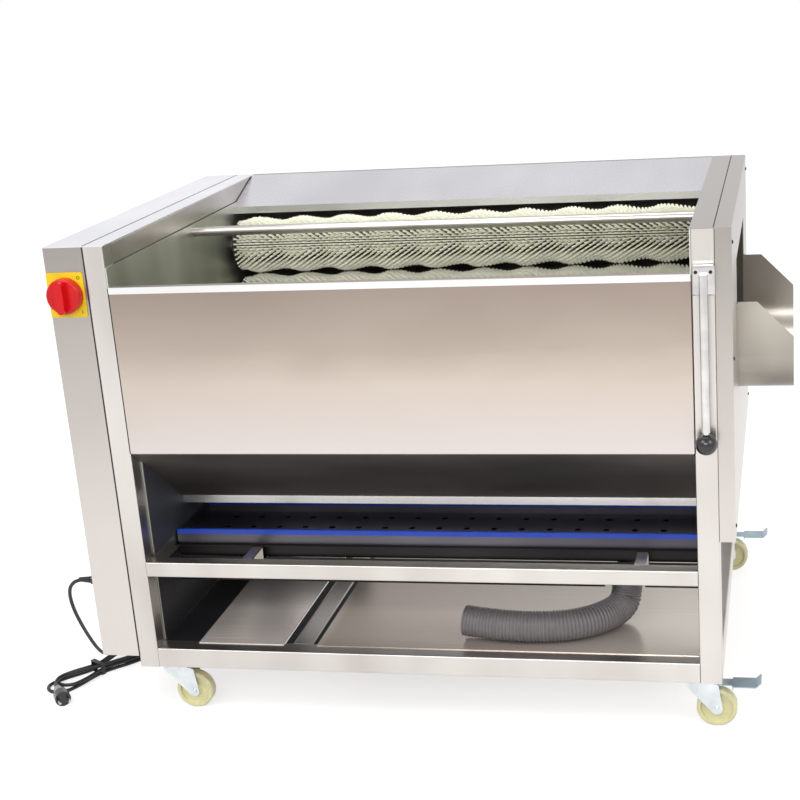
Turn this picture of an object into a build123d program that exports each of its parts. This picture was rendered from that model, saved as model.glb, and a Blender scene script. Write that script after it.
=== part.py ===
from build123d import *
from math import cos, pi, radians, sin, tan
import os

# A brush-roller washing and peeling machine on casters.
# X runs along the rollers from the drive box to the discharge end, Y from the front to the
# back, Z up from the floor. The origin is on the floor under the centre of the whole machine.

# ---------------------------------------------------------------- body
body_length = 1240.0
body_width = 850.0
body_height = 841.0
caster_height = 108.0
inlet_reach = 30.0
chute_reach = 101.0
switch_plate = 2.0
knob_reach = 40.0
move_gap = 0.5

front_reach = switch_plate + move_gap + knob_reach
left = -(inlet_reach + body_length + chute_reach) / 2 + inlet_reach
right = left + body_length
front = -(front_reach + body_width) / 2 + front_reach
back = front + body_width
mid_y = (front + back) / 2
base = caster_height
top = base + body_height

# ---------------------------------------------------------------- frame
tube = 40.0
rail_tube = 30.0
tube_wall = 1.5
tube_corner = 3.0
drive_box_depth = 77.0
end_cover_depth = 28.0
sheet = 1.5
wall = 2.0
weld_gap = 0.1
mid_rail_z = 300.0
rear_top_rail_drop = 56.0
cross_rail_place = 404.0
outrigger = 25.0
drive_box_bottom = 131.0

post_left = left + drive_box_depth
wall_left = post_left + tube
post_right = right - end_cover_depth - tube
trough_left = wall_left + wall
trough_right = post_right - wall
front_in = front + tube
back_in = back - tube

# ---------------------------------------------------------------- brush rollers
crest_radius = 62.0
trough_radius = 54.0
wave_count = 10
core_radius = 36.0
groove_radius = 43.0
ring_pitch = 15.0
bristle_lean = 41.0
shaft_radius = 12.5
brush_end_gap = 9.0
running_fit = 0.05
roller_places = [(240.0, 818.0), (240.0, 691.0), (176.0, 571.0), (52.0, 516.0), (-83.0, 514.0), (-205.0, 574.0)]
driven_place = roller_places[2]

# ---------------------------------------------------------------- bearings and chains
bearing_flange = 76.0
bearing_corner = 10.0
flange_depth = 12.0
boss_radius = 30.0
bearing_depth = 30.0
sprocket_teeth = 16
chain_pitch = 15.875
sprocket_depth = 8.0
sprocket_hub_radius = 22.0
root_drop = 5.0
tip_rise = 4.5
tooth_share = 0.62
tooth_angle = 68.0
tooth_sink = 2.0
link_plate = 2.0
link_height = 12.0
chain_plane_gap = 24.0
shaft_end_room = 6.0

pitch_radius = chain_pitch / (2 * sin(pi / sprocket_teeth))
roller_chain_x = wall_left - bearing_depth - chain_plane_gap
drive_chain_x = roller_chain_x - chain_plane_gap

# ---------------------------------------------------------------- gearmotor
motor_y = 200.0
motor_z = 265.0
motor_radius = 62.0
motor_length = 150.0
gearbox_size = 110.0
gearbox_length = 70.0
motor_shaft_radius = 10.0
motor_foot_length = 60.0
motor_foot_width = 120.0
motor_foot_depth = 6.0
motor_foot_inset = 12.0
motor_neck = 6.0
motor_ribs = 12
motor_rib_depth = 10.0
motor_rib_width = 4.0
gearbox_corner = 12.0
fan_cover_edge = 8.0
fan_cover_length = 28.0

# ---------------------------------------------------------------- trough sheets
front_panel_bottom = 552.0
front_panel_top = 871.0
rim_depth = 18.0
rim_height = 16.0
rear_lip_y = 263.0
rear_lip_z = 900.0
lip_height = 15.0
rear_ledge = 15.0
front_guide_top = 862.0
front_guide_y = -280.0
front_guide_z = 604.0
front_lip_y = -215.0
front_lip_z = 393.0
rear_deflector_y = -106.0
rear_deflector_z = 363.0
deflector_lip = 16.0
right_wall_bottom = 375.0
shaft_hole = 15.0

# ---------------------------------------------------------------- discharge end
end_cover_bottom = 387.0
window_half = 213.0
window_bottom = 596.0
window_top = 851.0
window_corner = 75.0
opening_half = 140.0
opening_bottom = 622.0
sill_half = 136.0
chute_top = 772.0
chute_ledge = 36.0
chute_nose_top = 706.0
chute_flange = 13.0
gate_axis_z = 863.0
gate_axis_in = 21.0
gate_shaft_radius = 8.0
gate_half = 152.0
gate_bottom = 635.0
gate_side_lip = 9.0
gate_sleeve = 3.0
lever_length = 264.0
lever_radius = 7.5
lever_stem_radius = 5.0
lever_rise = 12.0
lever_hub = 38.0
lever_hub_height = 50.0
lever_hub_depth = 17.0
lever_seat = 4.0
ball_radius = 19.0
ball_drop = 22.0
post_gap = 2.0

# ---------------------------------------------------------------- water, tray and drain
spray_y = 17.0
spray_drop = 58.0
spray_radius = 10.0
spray_bore = 8.0
spray_hole = 2.0
spray_holes = 10
inlet_radius = 9.0
inlet_length = 25.0
bracket_size = 36.0
tray_front = -274.0
tray_width = 180.0
tray_floor = 311.0
tray_height = 30.0
tray_end_gap = 4.0
tray_hem = 6.0
tray_hole = 6.5
tray_hole_pitch = 56.0
tray_hole_rows = 3
pan_flange = 22.0
pan_overhang = 10.0
pan_depth = 29.0
spigot_radius = 18.0
spigot_wall = 2.0
spigot_place = 1024.0
spigot_y = -236.0
spigot_length = 45.0
spigot_collar = 4.0
spigot_nipple = 14.0
strap_width = 20.0
strap = 3.0
strap_places = (284.0, 1051.0)
hose_radius = 30.0
hose_wall = 2.0
bend_share = 0.45
plate_lap = 10.0
floor_plate_1 = (193.0, 367.0)
floor_plate_2 = (435.0, 1169.0)

spray_z = top - spray_drop

# ---------------------------------------------------------------- switch
switch_x = 36.0
switch_z = 860.0
switch_plate_width = 72.0
switch_plate_height = 84.0
switch_corner = 5.0
switch_body_size = 56.0
switch_body_depth = 45.0
knob_radius = 33.0
knob_base = 18.0
knob_edge = 4.0
knob_inset = 3.0
knob_grip = 15.0
spindle_radius = 4.0

# ---------------------------------------------------------------- casters
wheel_radius = 37.5
wheel_width = 24.0
wheel_hub_radius = 12.0
wheel_web_radius = 14.0
wheel_rim = 9.0
wheel_lip = 7.0
tread_edge = 3.0
axle_cheek = 6.0
pedal_cheek = 3.0
caster_trail = 35.0
caster_inset = 53.0
right_caster_shift = 5.0
caster_plate = 66.0
caster_plate_depth = 2.5
caster_plate_corner = 6.0
fork_sheet = 2.5
fork_gap = 1.5
fork_top = 15.0
axle_radius = 5.0
kingpin_radius = 6.0
race_radius = 23.0
pedal_length = 82.0
pedal_pin_x = 34.0
pedal_pin_z = 82.0
pedal_pin_radius = 2.5
pedal_sheet = 2.0
pedal_lift = 9.0
pedal_pad_start = 30.0
pedal_pad_width = 40.0
pedal_pad_lip = 6.0

# ---------------------------------------------------------------- mains lead
cord_radius = 3.75
gland_y = 40.0
gland_z = 275.0
gland_length = 24.0
gland_radius = 9.0
gland_nut = 13.0
gland_thread_radius = 7.0
gland_thread = 4.0
gland_edge = 3.0
hank_near = (-822.0, -305.0)
hank_far = (-725.0, -145.0)
hank_end = 26.0
hank_waist = 14.0
hank_height = 20.0
plug_tail = (-803.0, -336.0)
plug_nose = (-772.0, -378.0)
plug_radius = 16.0
plug_tail_radius = 9.0
plug_pin_radius = 2.4
plug_pin_length = 19.0
plug_pin_spread = 19.0
plug_relief = 16.0
plug_cone_share = 0.6


# ---------------------------------------------------------------- planes and helpers
def yz_at(x):
    """A plane facing +X whose sketch axes are Y and Z."""
    return Plane.YZ.offset(x)


def xz_at(y):
    """A plane facing -Y whose sketch axes are X and Z."""
    return Plane.XZ.offset(-y)


def span(a0, a1, b0, b1):
    """A rectangle between two corners of the current sketch."""
    with Locations(((a0 + a1) / 2, (b0 + b1) / 2)):
        Rectangle(a1 - a0, b1 - b0)


def save(builder, name):
    builder.part.label = name
    export_step(builder.part, f"parts/{name}.step")


def bent(points, thickness, side):
    """A sheet's section: a line of folds given its thickness on one side."""
    with BuildLine() as section:
        Polyline(*points)
        offset(amount=thickness, side=side, kind=Kind.INTERSECTION)
    make_face(section.edges())


def tube_section(size):
    """The section of a square tube with rolled corners."""
    RectangleRounded(size, size, tube_corner)
    Rectangle(size - 2 * tube_wall, size - 2 * tube_wall, mode=Mode.SUBTRACT)


# ---------------------------------------------------------------- frame
def build_frame():
    """Square tubes, each a solid of its own with a fit-up gap where the welds are."""
    post_x = (post_left + tube / 2, post_right + tube / 2)
    post_y = (front + tube / 2, back - tube / 2)
    low_z = base + tube / 2
    high_z = top - sheet - tube / 2
    mid_z = mid_rail_z + rail_tube / 2
    gate_x = post_right + gate_axis_in
    with BuildPart() as frame:
        with BuildSketch(Plane.XY.offset(base)):
            with Locations(*[(x, y) for x in post_x for y in post_y]):
                tube_section(tube)
        extrude(amount=top - sheet - base)
        with BuildSketch(yz_at(wall_left + weld_gap)):
            with Locations(*[(y, low_z) for y in post_y]):
                tube_section(tube)
            with Locations((front + rail_tube / 2, mid_z), (back - rail_tube / 2, mid_z)):
                tube_section(rail_tube)
        extrude(amount=post_right - wall_left - 2 * weld_gap)
        with BuildSketch(yz_at(trough_left + weld_gap)):
            with Locations((back - sheet - tube / 2, top - rear_top_rail_drop + tube / 2)):
                tube_section(tube)
        extrude(amount=trough_right - trough_left - 2 * weld_gap)
        with BuildSketch(xz_at(back_in - weld_gap)):
            with Locations(*[(x, z) for x in post_x for z in (low_z, high_z)]):
                tube_section(tube)
            with Locations((left + cross_rail_place, low_z)):
                tube_section(tube)
        extrude(amount=back_in - front_in - 2 * weld_gap)
        with BuildSketch(yz_at(left + sheet)):
            out_z = drive_box_bottom + sheet + outrigger / 2
            out_y = sheet + outrigger / 2
            with Locations((front + out_y, out_z), (back - out_y, out_z)):
                tube_section(outrigger)
        extrude(amount=post_left - left - sheet - weld_gap)
        with BuildSketch(xz_at(back_in + tube_wall)):
            with Locations((gate_x, gate_axis_z)):
                Circle(gate_shaft_radius + running_fit)
        extrude(amount=body_width, mode=Mode.SUBTRACT)
    save(frame, "frame")


def build_drive_housing():
    with BuildPart() as housing:
        with BuildSketch(Plane.XY.offset(drive_box_bottom)):
            corners = [(post_left, front), (left, front), (left, back), (post_left, back)]
            bent(corners, sheet, Side.RIGHT)
        extrude(amount=top - sheet - drive_box_bottom)
        with BuildSketch(Plane.XY.offset(drive_box_bottom)):
            span(left + sheet, post_left, front + sheet, back - sheet)
        extrude(amount=sheet)
        with BuildSketch(xz_at(front + sheet)):
            with Locations((left + switch_x, switch_z)):
                Circle(spindle_radius + 2)
        extrude(amount=sheet, mode=Mode.SUBTRACT)
        with BuildSketch(yz_at(left)):
            with Locations((mid_y + spray_y, spray_z)):
                Circle(spray_radius)
            with Locations((front + gland_y, gland_z)):
                Circle(gland_radius - 2)
        extrude(amount=sheet, mode=Mode.SUBTRACT)
    save(housing, "drive_housing")


def build_drive_cover():
    with BuildPart() as cover:
        with BuildSketch(Plane.XY.offset(top - sheet)):
            span(left, trough_left, front, back)
        extrude(amount=sheet)
        fillet(cover.edges().filter_by(Axis.Z), tube_corner)
    save(cover, "drive_cover")


# ---------------------------------------------------------------- trough walls and sheets
def shaft_holes():
    with Locations(*[(mid_y + y, z) for y, z in roller_places]):
        Circle(shaft_hole, mode=Mode.SUBTRACT)


def end_wall_outline(bottom, wall_top):
    """A wall between the posts that widens to their outer faces above the side panels."""
    span(front_in, back_in, bottom, wall_top)
    span(front + sheet, front_in, front_panel_bottom, wall_top)
    span(back_in, back - sheet, front_panel_bottom, wall_top)


def build_left_wall():
    with BuildPart() as left_wall:
        with BuildSketch(yz_at(wall_left)):
            end_wall_outline(base + tube, top - sheet - tube)
            shaft_holes()
            with Locations((mid_y + spray_y, spray_z)):
                Circle(spray_radius, mode=Mode.SUBTRACT)
            with Locations((mid_y + motor_y, motor_z)):
                Circle(shaft_hole, mode=Mode.SUBTRACT)
        extrude(amount=wall)
    save(left_wall, "left_wall")


def build_right_wall():
    with BuildPart() as right_wall:
        with BuildSketch(yz_at(trough_right)):
            end_wall_outline(right_wall_bottom, top - sheet)
            with Locations((mid_y, (opening_bottom + window_top) / 2)):
                Rectangle(2 * opening_half, window_top - opening_bottom, mode=Mode.SUBTRACT)
            shaft_holes()
        extrude(amount=wall)
    save(right_wall, "right_wall")


def build_front_panel():
    with BuildPart() as panel:
        with BuildSketch(yz_at(wall_left)):
            folds = [
                (front + rim_depth, front_panel_top - rim_height),
                (front + rim_depth, front_panel_top),
                (front, front_panel_top),
                (front, front_panel_bottom),
                (front + rim_depth, front_panel_bottom),
            ]
            bent(folds, sheet, Side.LEFT)
        extrude(amount=post_right - wall_left)
        with BuildSketch(Plane.XY.offset(front_panel_bottom - sheet)):
            for x0, x1 in ((wall_left, trough_left), (trough_right, post_right)):
                span(x0, x1, front + sheet, front + rim_depth + 2 * sheet)
        extrude(amount=front_panel_top - front_panel_bottom + 2 * sheet, mode=Mode.SUBTRACT)
    save(panel, "front_panel")


def build_rear_panel():
    with BuildPart() as panel:
        with BuildSketch(yz_at(wall_left)):
            folds = [(back, front_panel_bottom), (back, top), (back - rear_ledge, top)]
            bent(folds, sheet, Side.LEFT)
        extrude(amount=post_right - wall_left)
        with BuildSketch(Plane.XY.offset(top - sheet)):
            span(wall_left, trough_left, back_in, back)
            span(trough_right, post_right, back_in, back)
        extrude(amount=sheet, mode=Mode.SUBTRACT)
    save(panel, "rear_panel")


def build_rear_guide():
    lip_y = mid_y + rear_lip_y
    with BuildPart() as guide:
        with BuildSketch(yz_at(trough_left)):
            start = (back - rear_ledge - move_gap, top)
            bent([start, (lip_y, rear_lip_z), (lip_y, rear_lip_z - lip_height)], sheet, Side.LEFT)
        extrude(amount=trough_right - trough_left)
    save(guide, "rear_guide")


def build_front_guide():
    with BuildPart() as guide:
        with BuildSketch(yz_at(trough_left)):
            folds = [
                (front + rim_depth + sheet, front_guide_top - rim_height),
                (front + rim_depth + sheet, front_guide_top),
                (mid_y + front_guide_y, front_guide_z),
            ]
            bent(folds, sheet, Side.RIGHT)
        extrude(amount=trough_right - trough_left)
    save(guide, "front_guide")


def build_deflectors():
    front_y = mid_y + front_lip_y
    rear_y = mid_y + rear_deflector_y
    with BuildPart() as deflectors:
        with BuildSketch(yz_at(trough_left)):
            folds = [
                (front + sheet, front_panel_bottom),
                (front_y, front_lip_z),
                (front_y, front_lip_z - deflector_lip),
            ]
            bent(folds, sheet, Side.RIGHT)
        with BuildSketch(yz_at(trough_left)):
            folds = [
                (back, front_panel_bottom),
                (rear_y, rear_deflector_z),
                (rear_y, rear_deflector_z - deflector_lip),
            ]
            bent(folds, sheet, Side.LEFT)
        extrude(amount=trough_right - trough_left)
    save(deflectors, "deflectors")


# ---------------------------------------------------------------- end cover, chute and gate
def window_shape(half, low, high, corner):
    """A hole with square upper and round lower corners."""
    with BuildSketch(mode=Mode.PRIVATE) as shape:
        with Locations((mid_y, (low + high) / 2)):
            Rectangle(2 * half, high - low)
        fillet(shape.vertices().group_by(Axis.Y)[0], corner)
    return shape.sketch


def build_end_cover():
    inner = right - end_cover_depth
    with BuildPart() as cover:
        with BuildSketch(yz_at(inner)):
            span(front, back, end_cover_bottom, top)
        extrude(amount=end_cover_depth)
        with BuildSketch(yz_at(inner)):
            span(front + sheet, back - sheet, end_cover_bottom + sheet, top - sheet)
        extrude(amount=end_cover_depth - sheet, mode=Mode.SUBTRACT)
        with BuildSketch(yz_at(right - sheet)):
            add(window_shape(window_half, window_bottom, window_top, window_corner))
        extrude(amount=sheet, mode=Mode.SUBTRACT)
        with BuildSketch(Plane.XY.offset(top - sheet)):
            span(trough_right, inner, front, back)
        extrude(amount=sheet)
    save(cover, "end_cover")


def build_chute():
    reach = right + chute_reach
    with BuildPart() as chute:
        outer = window_half + wall
        with BuildSketch(yz_at(right)):
            add(window_shape(outer, window_bottom - wall, chute_top, window_corner + wall))
            inside = window_shape(window_half, window_bottom, chute_top, window_corner)
            add(inside, mode=Mode.SUBTRACT)
        extrude(amount=chute_reach)
        with BuildSketch(yz_at(right)):
            flange = outer + chute_flange
            add(window_shape(flange, window_bottom - wall, chute_top, window_corner + chute_flange))
            add(inside, mode=Mode.SUBTRACT)
        extrude(amount=wall)
        with BuildSketch(xz_at(mid_y + 2 * window_half)):
            with BuildLine():
                Polyline(
                    (right + chute_ledge, chute_top),
                    (reach, chute_nose_top),
                    (reach, chute_top),
                    close=True,
                )
            make_face()
        extrude(amount=4 * window_half, mode=Mode.SUBTRACT)
        with BuildSketch(xz_at(mid_y + sill_half)):
            sill_foot = (right + 2 * wall, window_bottom - wall / 2)
            bent([sill_foot, (post_right + move_gap, opening_bottom - wall)], wall, Side.RIGHT)
        extrude(amount=2 * sill_half)
    save(chute, "discharge_chute")


def build_gate():
    gate_x = post_right + gate_axis_in
    sleeve = gate_shaft_radius + gate_sleeve
    plate_x = gate_x - sleeve
    with BuildPart() as flap:
        with BuildSketch(xz_at(mid_y + gate_half)):
            with Locations((gate_x, gate_axis_z)):
                Circle(sleeve)
            span(plate_x, plate_x + wall, gate_bottom, gate_axis_z)
            with Locations((gate_x, gate_axis_z)):
                Circle(gate_shaft_radius, mode=Mode.SUBTRACT)
        extrude(amount=2 * gate_half)
        with BuildSketch(Plane.XY.offset(gate_bottom)):
            for y in (mid_y - gate_half, mid_y + gate_half - wall):
                span(plate_x - gate_side_lip, plate_x, y, y + wall)
        extrude(amount=gate_axis_z - 2 * sleeve - gate_bottom)
    save(flap, "gate_flap")
    with BuildPart() as shaft:
        with BuildSketch(xz_at(back_in + tube / 2)):
            with Locations((gate_x, gate_axis_z)):
                Circle(gate_shaft_radius)
        extrude(amount=back_in + tube / 2 - front + post_gap + lever_hub_depth / 2)
    save(shaft, "gate_shaft")
    hub_face = front - post_gap
    ball_z = gate_axis_z - lever_length - ball_drop
    rod_y = hub_face - lever_hub_depth - lever_seat
    with BuildPart() as lever:
        with BuildSketch(xz_at(hub_face)):
            with Locations((gate_x, gate_axis_z)):
                RectangleRounded(lever_hub, lever_hub_height, tube_corner)
        extrude(amount=lever_hub_depth)
        with BuildSketch(xz_at(hub_face)):
            with Locations((gate_x, gate_axis_z)):
                Circle(gate_shaft_radius)
        extrude(amount=lever_hub_depth / 2, mode=Mode.SUBTRACT)
        with BuildSketch(Plane.XY.offset(gate_axis_z - lever_length)):
            with Locations((gate_x, rod_y)):
                Circle(lever_radius)
        extrude(amount=lever_length + lever_rise)
        chamfer(lever.faces().sort_by(Axis.Z)[-1].edges(), 2)
        with BuildSketch(Plane.XY.offset(ball_z)):
            with Locations((gate_x, rod_y)):
                Circle(lever_stem_radius)
        extrude(amount=ball_drop)
    save(lever, "gate_lever")
    with BuildPart() as ball:
        with Locations((gate_x, rod_y, ball_z)):
            Sphere(ball_radius)
        with BuildSketch(Plane.XY.offset(ball_z)):
            with Locations((gate_x, rod_y)):
                Circle(lever_stem_radius)
        extrude(amount=ball_radius, mode=Mode.SUBTRACT)
    save(ball, "lever_ball")


# ---------------------------------------------------------------- brush rollers
def tip_radius(share):
    """The bristles' reach, which swells and shrinks in waves along the roller."""
    swell = 0.5 - 0.5 * cos(2 * pi * wave_count * share)
    return trough_radius + (crest_radius - trough_radius) * swell


def build_brush(number, y, z):
    """A core with leaning rings of bristles trimmed to a row of waves, turned about the shaft."""
    start = trough_left + brush_end_gap
    end = trough_right - brush_end_gap
    slope = tan(radians(bristle_lean))
    first = start + (crest_radius - groove_radius) * slope
    rings = int((end - first) / ring_pitch)
    pitch = (end - first) / rings
    profile = [(start, shaft_radius), (start, core_radius), (first, core_radius)]
    for ring in range(rings):
        root = first + ring * pitch
        reach = tip_radius((ring + 0.5) / rings)
        tip = root + pitch / 2 - (reach - groove_radius) * slope
        profile += [(root, groove_radius), (tip, reach)]
    profile += [(end, groove_radius), (end, shaft_radius)]
    with BuildPart() as brush:
        with BuildSketch(xz_at(mid_y + y)):
            with BuildLine():
                Polyline(*[(x, z + radius) for x, radius in profile], close=True)
            make_face()
        revolve(axis=Axis((0, mid_y + y, z), (1, 0, 0)))
    save(brush, f"brush_{number}")


def sprocket_shape(y, z):
    """Teeth round a root circle, as plain trapezia."""
    root = pitch_radius - root_drop
    tooth = 2 * pi * pitch_radius / sprocket_teeth
    with Locations((mid_y + y, z)):
        Circle(root)
        with PolarLocations(root + (root_drop + tip_rise - tooth_sink) / 2, sprocket_teeth):
            Trapezoid(tooth * tooth_share, root_drop + tip_rise + tooth_sink, tooth_angle, rotation=-90)


def build_shaft(number, y, z):
    """A shaft with its sprocket keyed on, and a second one on the driven roller."""
    planes = [roller_chain_x]
    if (y, z) == driven_place:
        planes.append(drive_chain_x)
    start = planes[-1] - sprocket_depth / 2 - shaft_end_room
    with BuildPart() as shaft:
        with BuildSketch(yz_at(start)):
            with Locations((mid_y + y, z)):
                Circle(shaft_radius)
        extrude(amount=post_right + bearing_depth - start)
        for x in planes:
            with BuildSketch(yz_at(x - sprocket_depth / 2)):
                sprocket_shape(y, z)
            extrude(amount=sprocket_depth)
            with BuildSketch(yz_at(x)):
                with Locations((mid_y + y, z)):
                    Circle(sprocket_hub_radius)
            extrude(amount=sprocket_depth)
        chamfer(shaft.faces().sort_by(Axis.X)[0].edges(), 1)
    save(shaft, f"roller_shaft_{number}")


def build_bearings(name, face_x, direction):
    """Square-flanged housings with a round boss, one at each roller."""
    with BuildPart() as bearings:
        for y, z in roller_places:
            plane = yz_at(face_x)
            with BuildSketch(plane):
                with Locations((mid_y + y, z)):
                    RectangleRounded(bearing_flange, bearing_flange, bearing_corner)
            extrude(amount=direction * flange_depth)
            with BuildSketch(plane):
                with Locations((mid_y + y, z)):
                    Circle(boss_radius)
            extrude(amount=direction * bearing_depth)
            with BuildSketch(plane):
                with Locations((mid_y + y, z)):
                    Circle(shaft_radius + running_fit)
            extrude(amount=direction * bearing_depth, mode=Mode.SUBTRACT)
    save(bearings, name)


# ---------------------------------------------------------------- chain drive and gearmotor
def loop_band(places):
    """The side view of a chain that wraps round the given sprockets."""
    outlines = []
    for radius in (pitch_radius + link_height / 2, pitch_radius - link_height / 2):
        with BuildSketch(mode=Mode.PRIVATE) as outline:
            with Locations(*[(mid_y + y, z) for y, z in places]):
                Circle(radius)
            make_hull()
        outlines.append(outline.sketch)
    return outlines


def build_chain(name, places, x):
    """A chain as its two rows of link plates, one on each side of the sprockets' teeth."""
    outer, hollow = loop_band(places)
    face_gap = sprocket_depth / 2 + move_gap
    with BuildPart() as chain:
        for start in (x - face_gap - link_plate, x + face_gap):
            with BuildSketch(yz_at(start)):
                add(outer)
                add(hollow, mode=Mode.SUBTRACT)
            extrude(amount=link_plate)
    save(chain, name)


def build_gearmotor():
    y = mid_y + motor_y
    gear_start = trough_left + move_gap
    motor_start = gear_start + gearbox_length
    with BuildPart() as gearmotor:
        with BuildSketch(yz_at(gear_start)):
            with Locations((y, motor_z)):
                RectangleRounded(gearbox_size, gearbox_size, gearbox_corner)
        extrude(amount=gearbox_length)
        with BuildSketch(yz_at(motor_start)):
            with Locations((y, motor_z)):
                Circle(motor_radius - motor_neck)
                with PolarLocations(motor_radius - motor_rib_depth / 2, motor_ribs):
                    Rectangle(motor_rib_depth, motor_rib_width)
        extrude(amount=motor_length)
        with BuildSketch(yz_at(motor_start + motor_length)):
            with Locations((y, motor_z)):
                Circle(motor_radius)
        extrude(amount=fan_cover_length)
        fillet(gearmotor.faces().sort_by(Axis.X)[-1].edges(), fan_cover_edge)
        with BuildSketch(yz_at(gear_start)):
            with Locations((y, motor_z)):
                Circle(motor_shaft_radius + running_fit)
        extrude(amount=gearbox_length / 2, mode=Mode.SUBTRACT)
    save(gearmotor, "gearmotor")
    foot_z = base + tube + sheet
    foot_x = gear_start + gearbox_length / 2
    with BuildPart() as stand:
        gear_bottom = motor_z - gearbox_size / 2
        folds = [
            (y - gearbox_size / 2, foot_z + motor_foot_depth / 2),
            (y - gearbox_size / 2 + motor_foot_inset, gear_bottom),
            (y + gearbox_size / 2 - motor_foot_inset, gear_bottom),
            (y + gearbox_size / 2, foot_z + motor_foot_depth / 2),
        ]
        with BuildSketch(yz_at(foot_x - motor_foot_length / 2)):
            span(y - motor_foot_width / 2, y + motor_foot_width / 2, foot_z, foot_z + motor_foot_depth)
            bent(folds, motor_foot_depth, Side.RIGHT)
        extrude(amount=motor_foot_length)
    save(stand, "motor_stand")
    start = drive_chain_x - sprocket_depth / 2 - shaft_end_room
    with BuildPart() as shaft:
        with BuildSketch(yz_at(start)):
            with Locations((y, motor_z)):
                Circle(motor_shaft_radius)
        extrude(amount=gear_start + gearbox_length / 2 - move_gap - start)
        with BuildSketch(yz_at(drive_chain_x - sprocket_depth / 2)):
            sprocket_shape(motor_y, motor_z)
        extrude(amount=sprocket_depth)
        with BuildSketch(yz_at(drive_chain_x)):
            with Locations((y, motor_z)):
                Circle(sprocket_hub_radius)
        extrude(amount=sprocket_depth)
        chamfer(shaft.faces().sort_by(Axis.X)[0].edges(), 1)
    save(shaft, "motor_shaft")


# ---------------------------------------------------------------- water, tray and drain
def build_spray_pipe():
    y = mid_y + spray_y
    start = left - inlet_reach
    end = trough_right - bracket_size / 4
    step = (trough_right - trough_left) / (spray_holes + 1)
    with BuildPart() as pipe:
        with BuildSketch(yz_at(start)):
            with Locations((y, spray_z)):
                Circle(spray_radius)
        extrude(amount=end - start)
        with BuildSketch(yz_at(start)):
            with Locations((y, spray_z)):
                Circle(spray_bore)
        extrude(amount=end - start - wall, mode=Mode.SUBTRACT)
        with BuildSketch(yz_at(start)):
            with Locations((y, spray_z)):
                Circle(2 * spray_radius)
                Circle(inlet_radius, mode=Mode.SUBTRACT)
        extrude(amount=inlet_length, mode=Mode.SUBTRACT)
        with BuildSketch(Plane.XY.offset(spray_z - spray_radius)):
            with Locations(*[(trough_left + (n + 1) * step, y) for n in range(spray_holes)]):
                Circle(spray_hole)
        extrude(amount=spray_radius, mode=Mode.SUBTRACT)
    save(pipe, "spray_pipe")
    with BuildPart() as bracket:
        with BuildSketch(yz_at(trough_right)):
            with Locations((y, spray_z)):
                RectangleRounded(bracket_size, bracket_size, tube_corner)
        extrude(amount=-bracket_size / 3)
        with BuildSketch(yz_at(trough_right)):
            with Locations((y, spray_z)):
                Circle(spray_radius)
        extrude(amount=-bracket_size, mode=Mode.SUBTRACT)
        with BuildSketch(yz_at(trough_right)):
            with Locations((y, spray_z)):
                Circle(spray_radius)
        extrude(amount=-bracket_size / 4)
    save(bracket, "spray_bracket")


def build_tray():
    """A long perforated channel with rolled upper edges and closed ends."""
    x0 = trough_left + tray_end_gap
    x1 = trough_right - tray_end_gap
    y0 = mid_y + tray_front
    y1 = y0 + tray_width
    rim = tray_floor + tray_height
    holes_long = int((x1 - x0) / tray_hole_pitch) - 1
    with BuildPart() as tray:
        with BuildSketch(yz_at(x0)):
            folds = [
                (y0 + tray_hem, rim - tray_hem),
                (y0 + tray_hem, rim),
                (y0, rim),
                (y0, tray_floor),
                (y1, tray_floor),
                (y1, rim),
                (y1 - tray_hem, rim),
                (y1 - tray_hem, rim - tray_hem),
            ]
            bent(folds, sheet, Side.LEFT)
        extrude(amount=x1 - x0)
        for x in (x0, x1 - sheet):
            with BuildSketch(yz_at(x)):
                span(y0 + sheet, y1 - sheet, tray_floor + sheet, rim - tray_hem)
            extrude(amount=sheet)
        with BuildSketch(Plane.XY.offset(tray_floor)):
            with Locations(((x0 + x1) / 2, (y0 + y1) / 2)):
                with GridLocations(tray_hole_pitch, tray_hole_pitch, holes_long, tray_hole_rows):
                    Circle(tray_hole)
        extrude(amount=sheet, mode=Mode.SUBTRACT)
    save(tray, "filter_tray")


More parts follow.
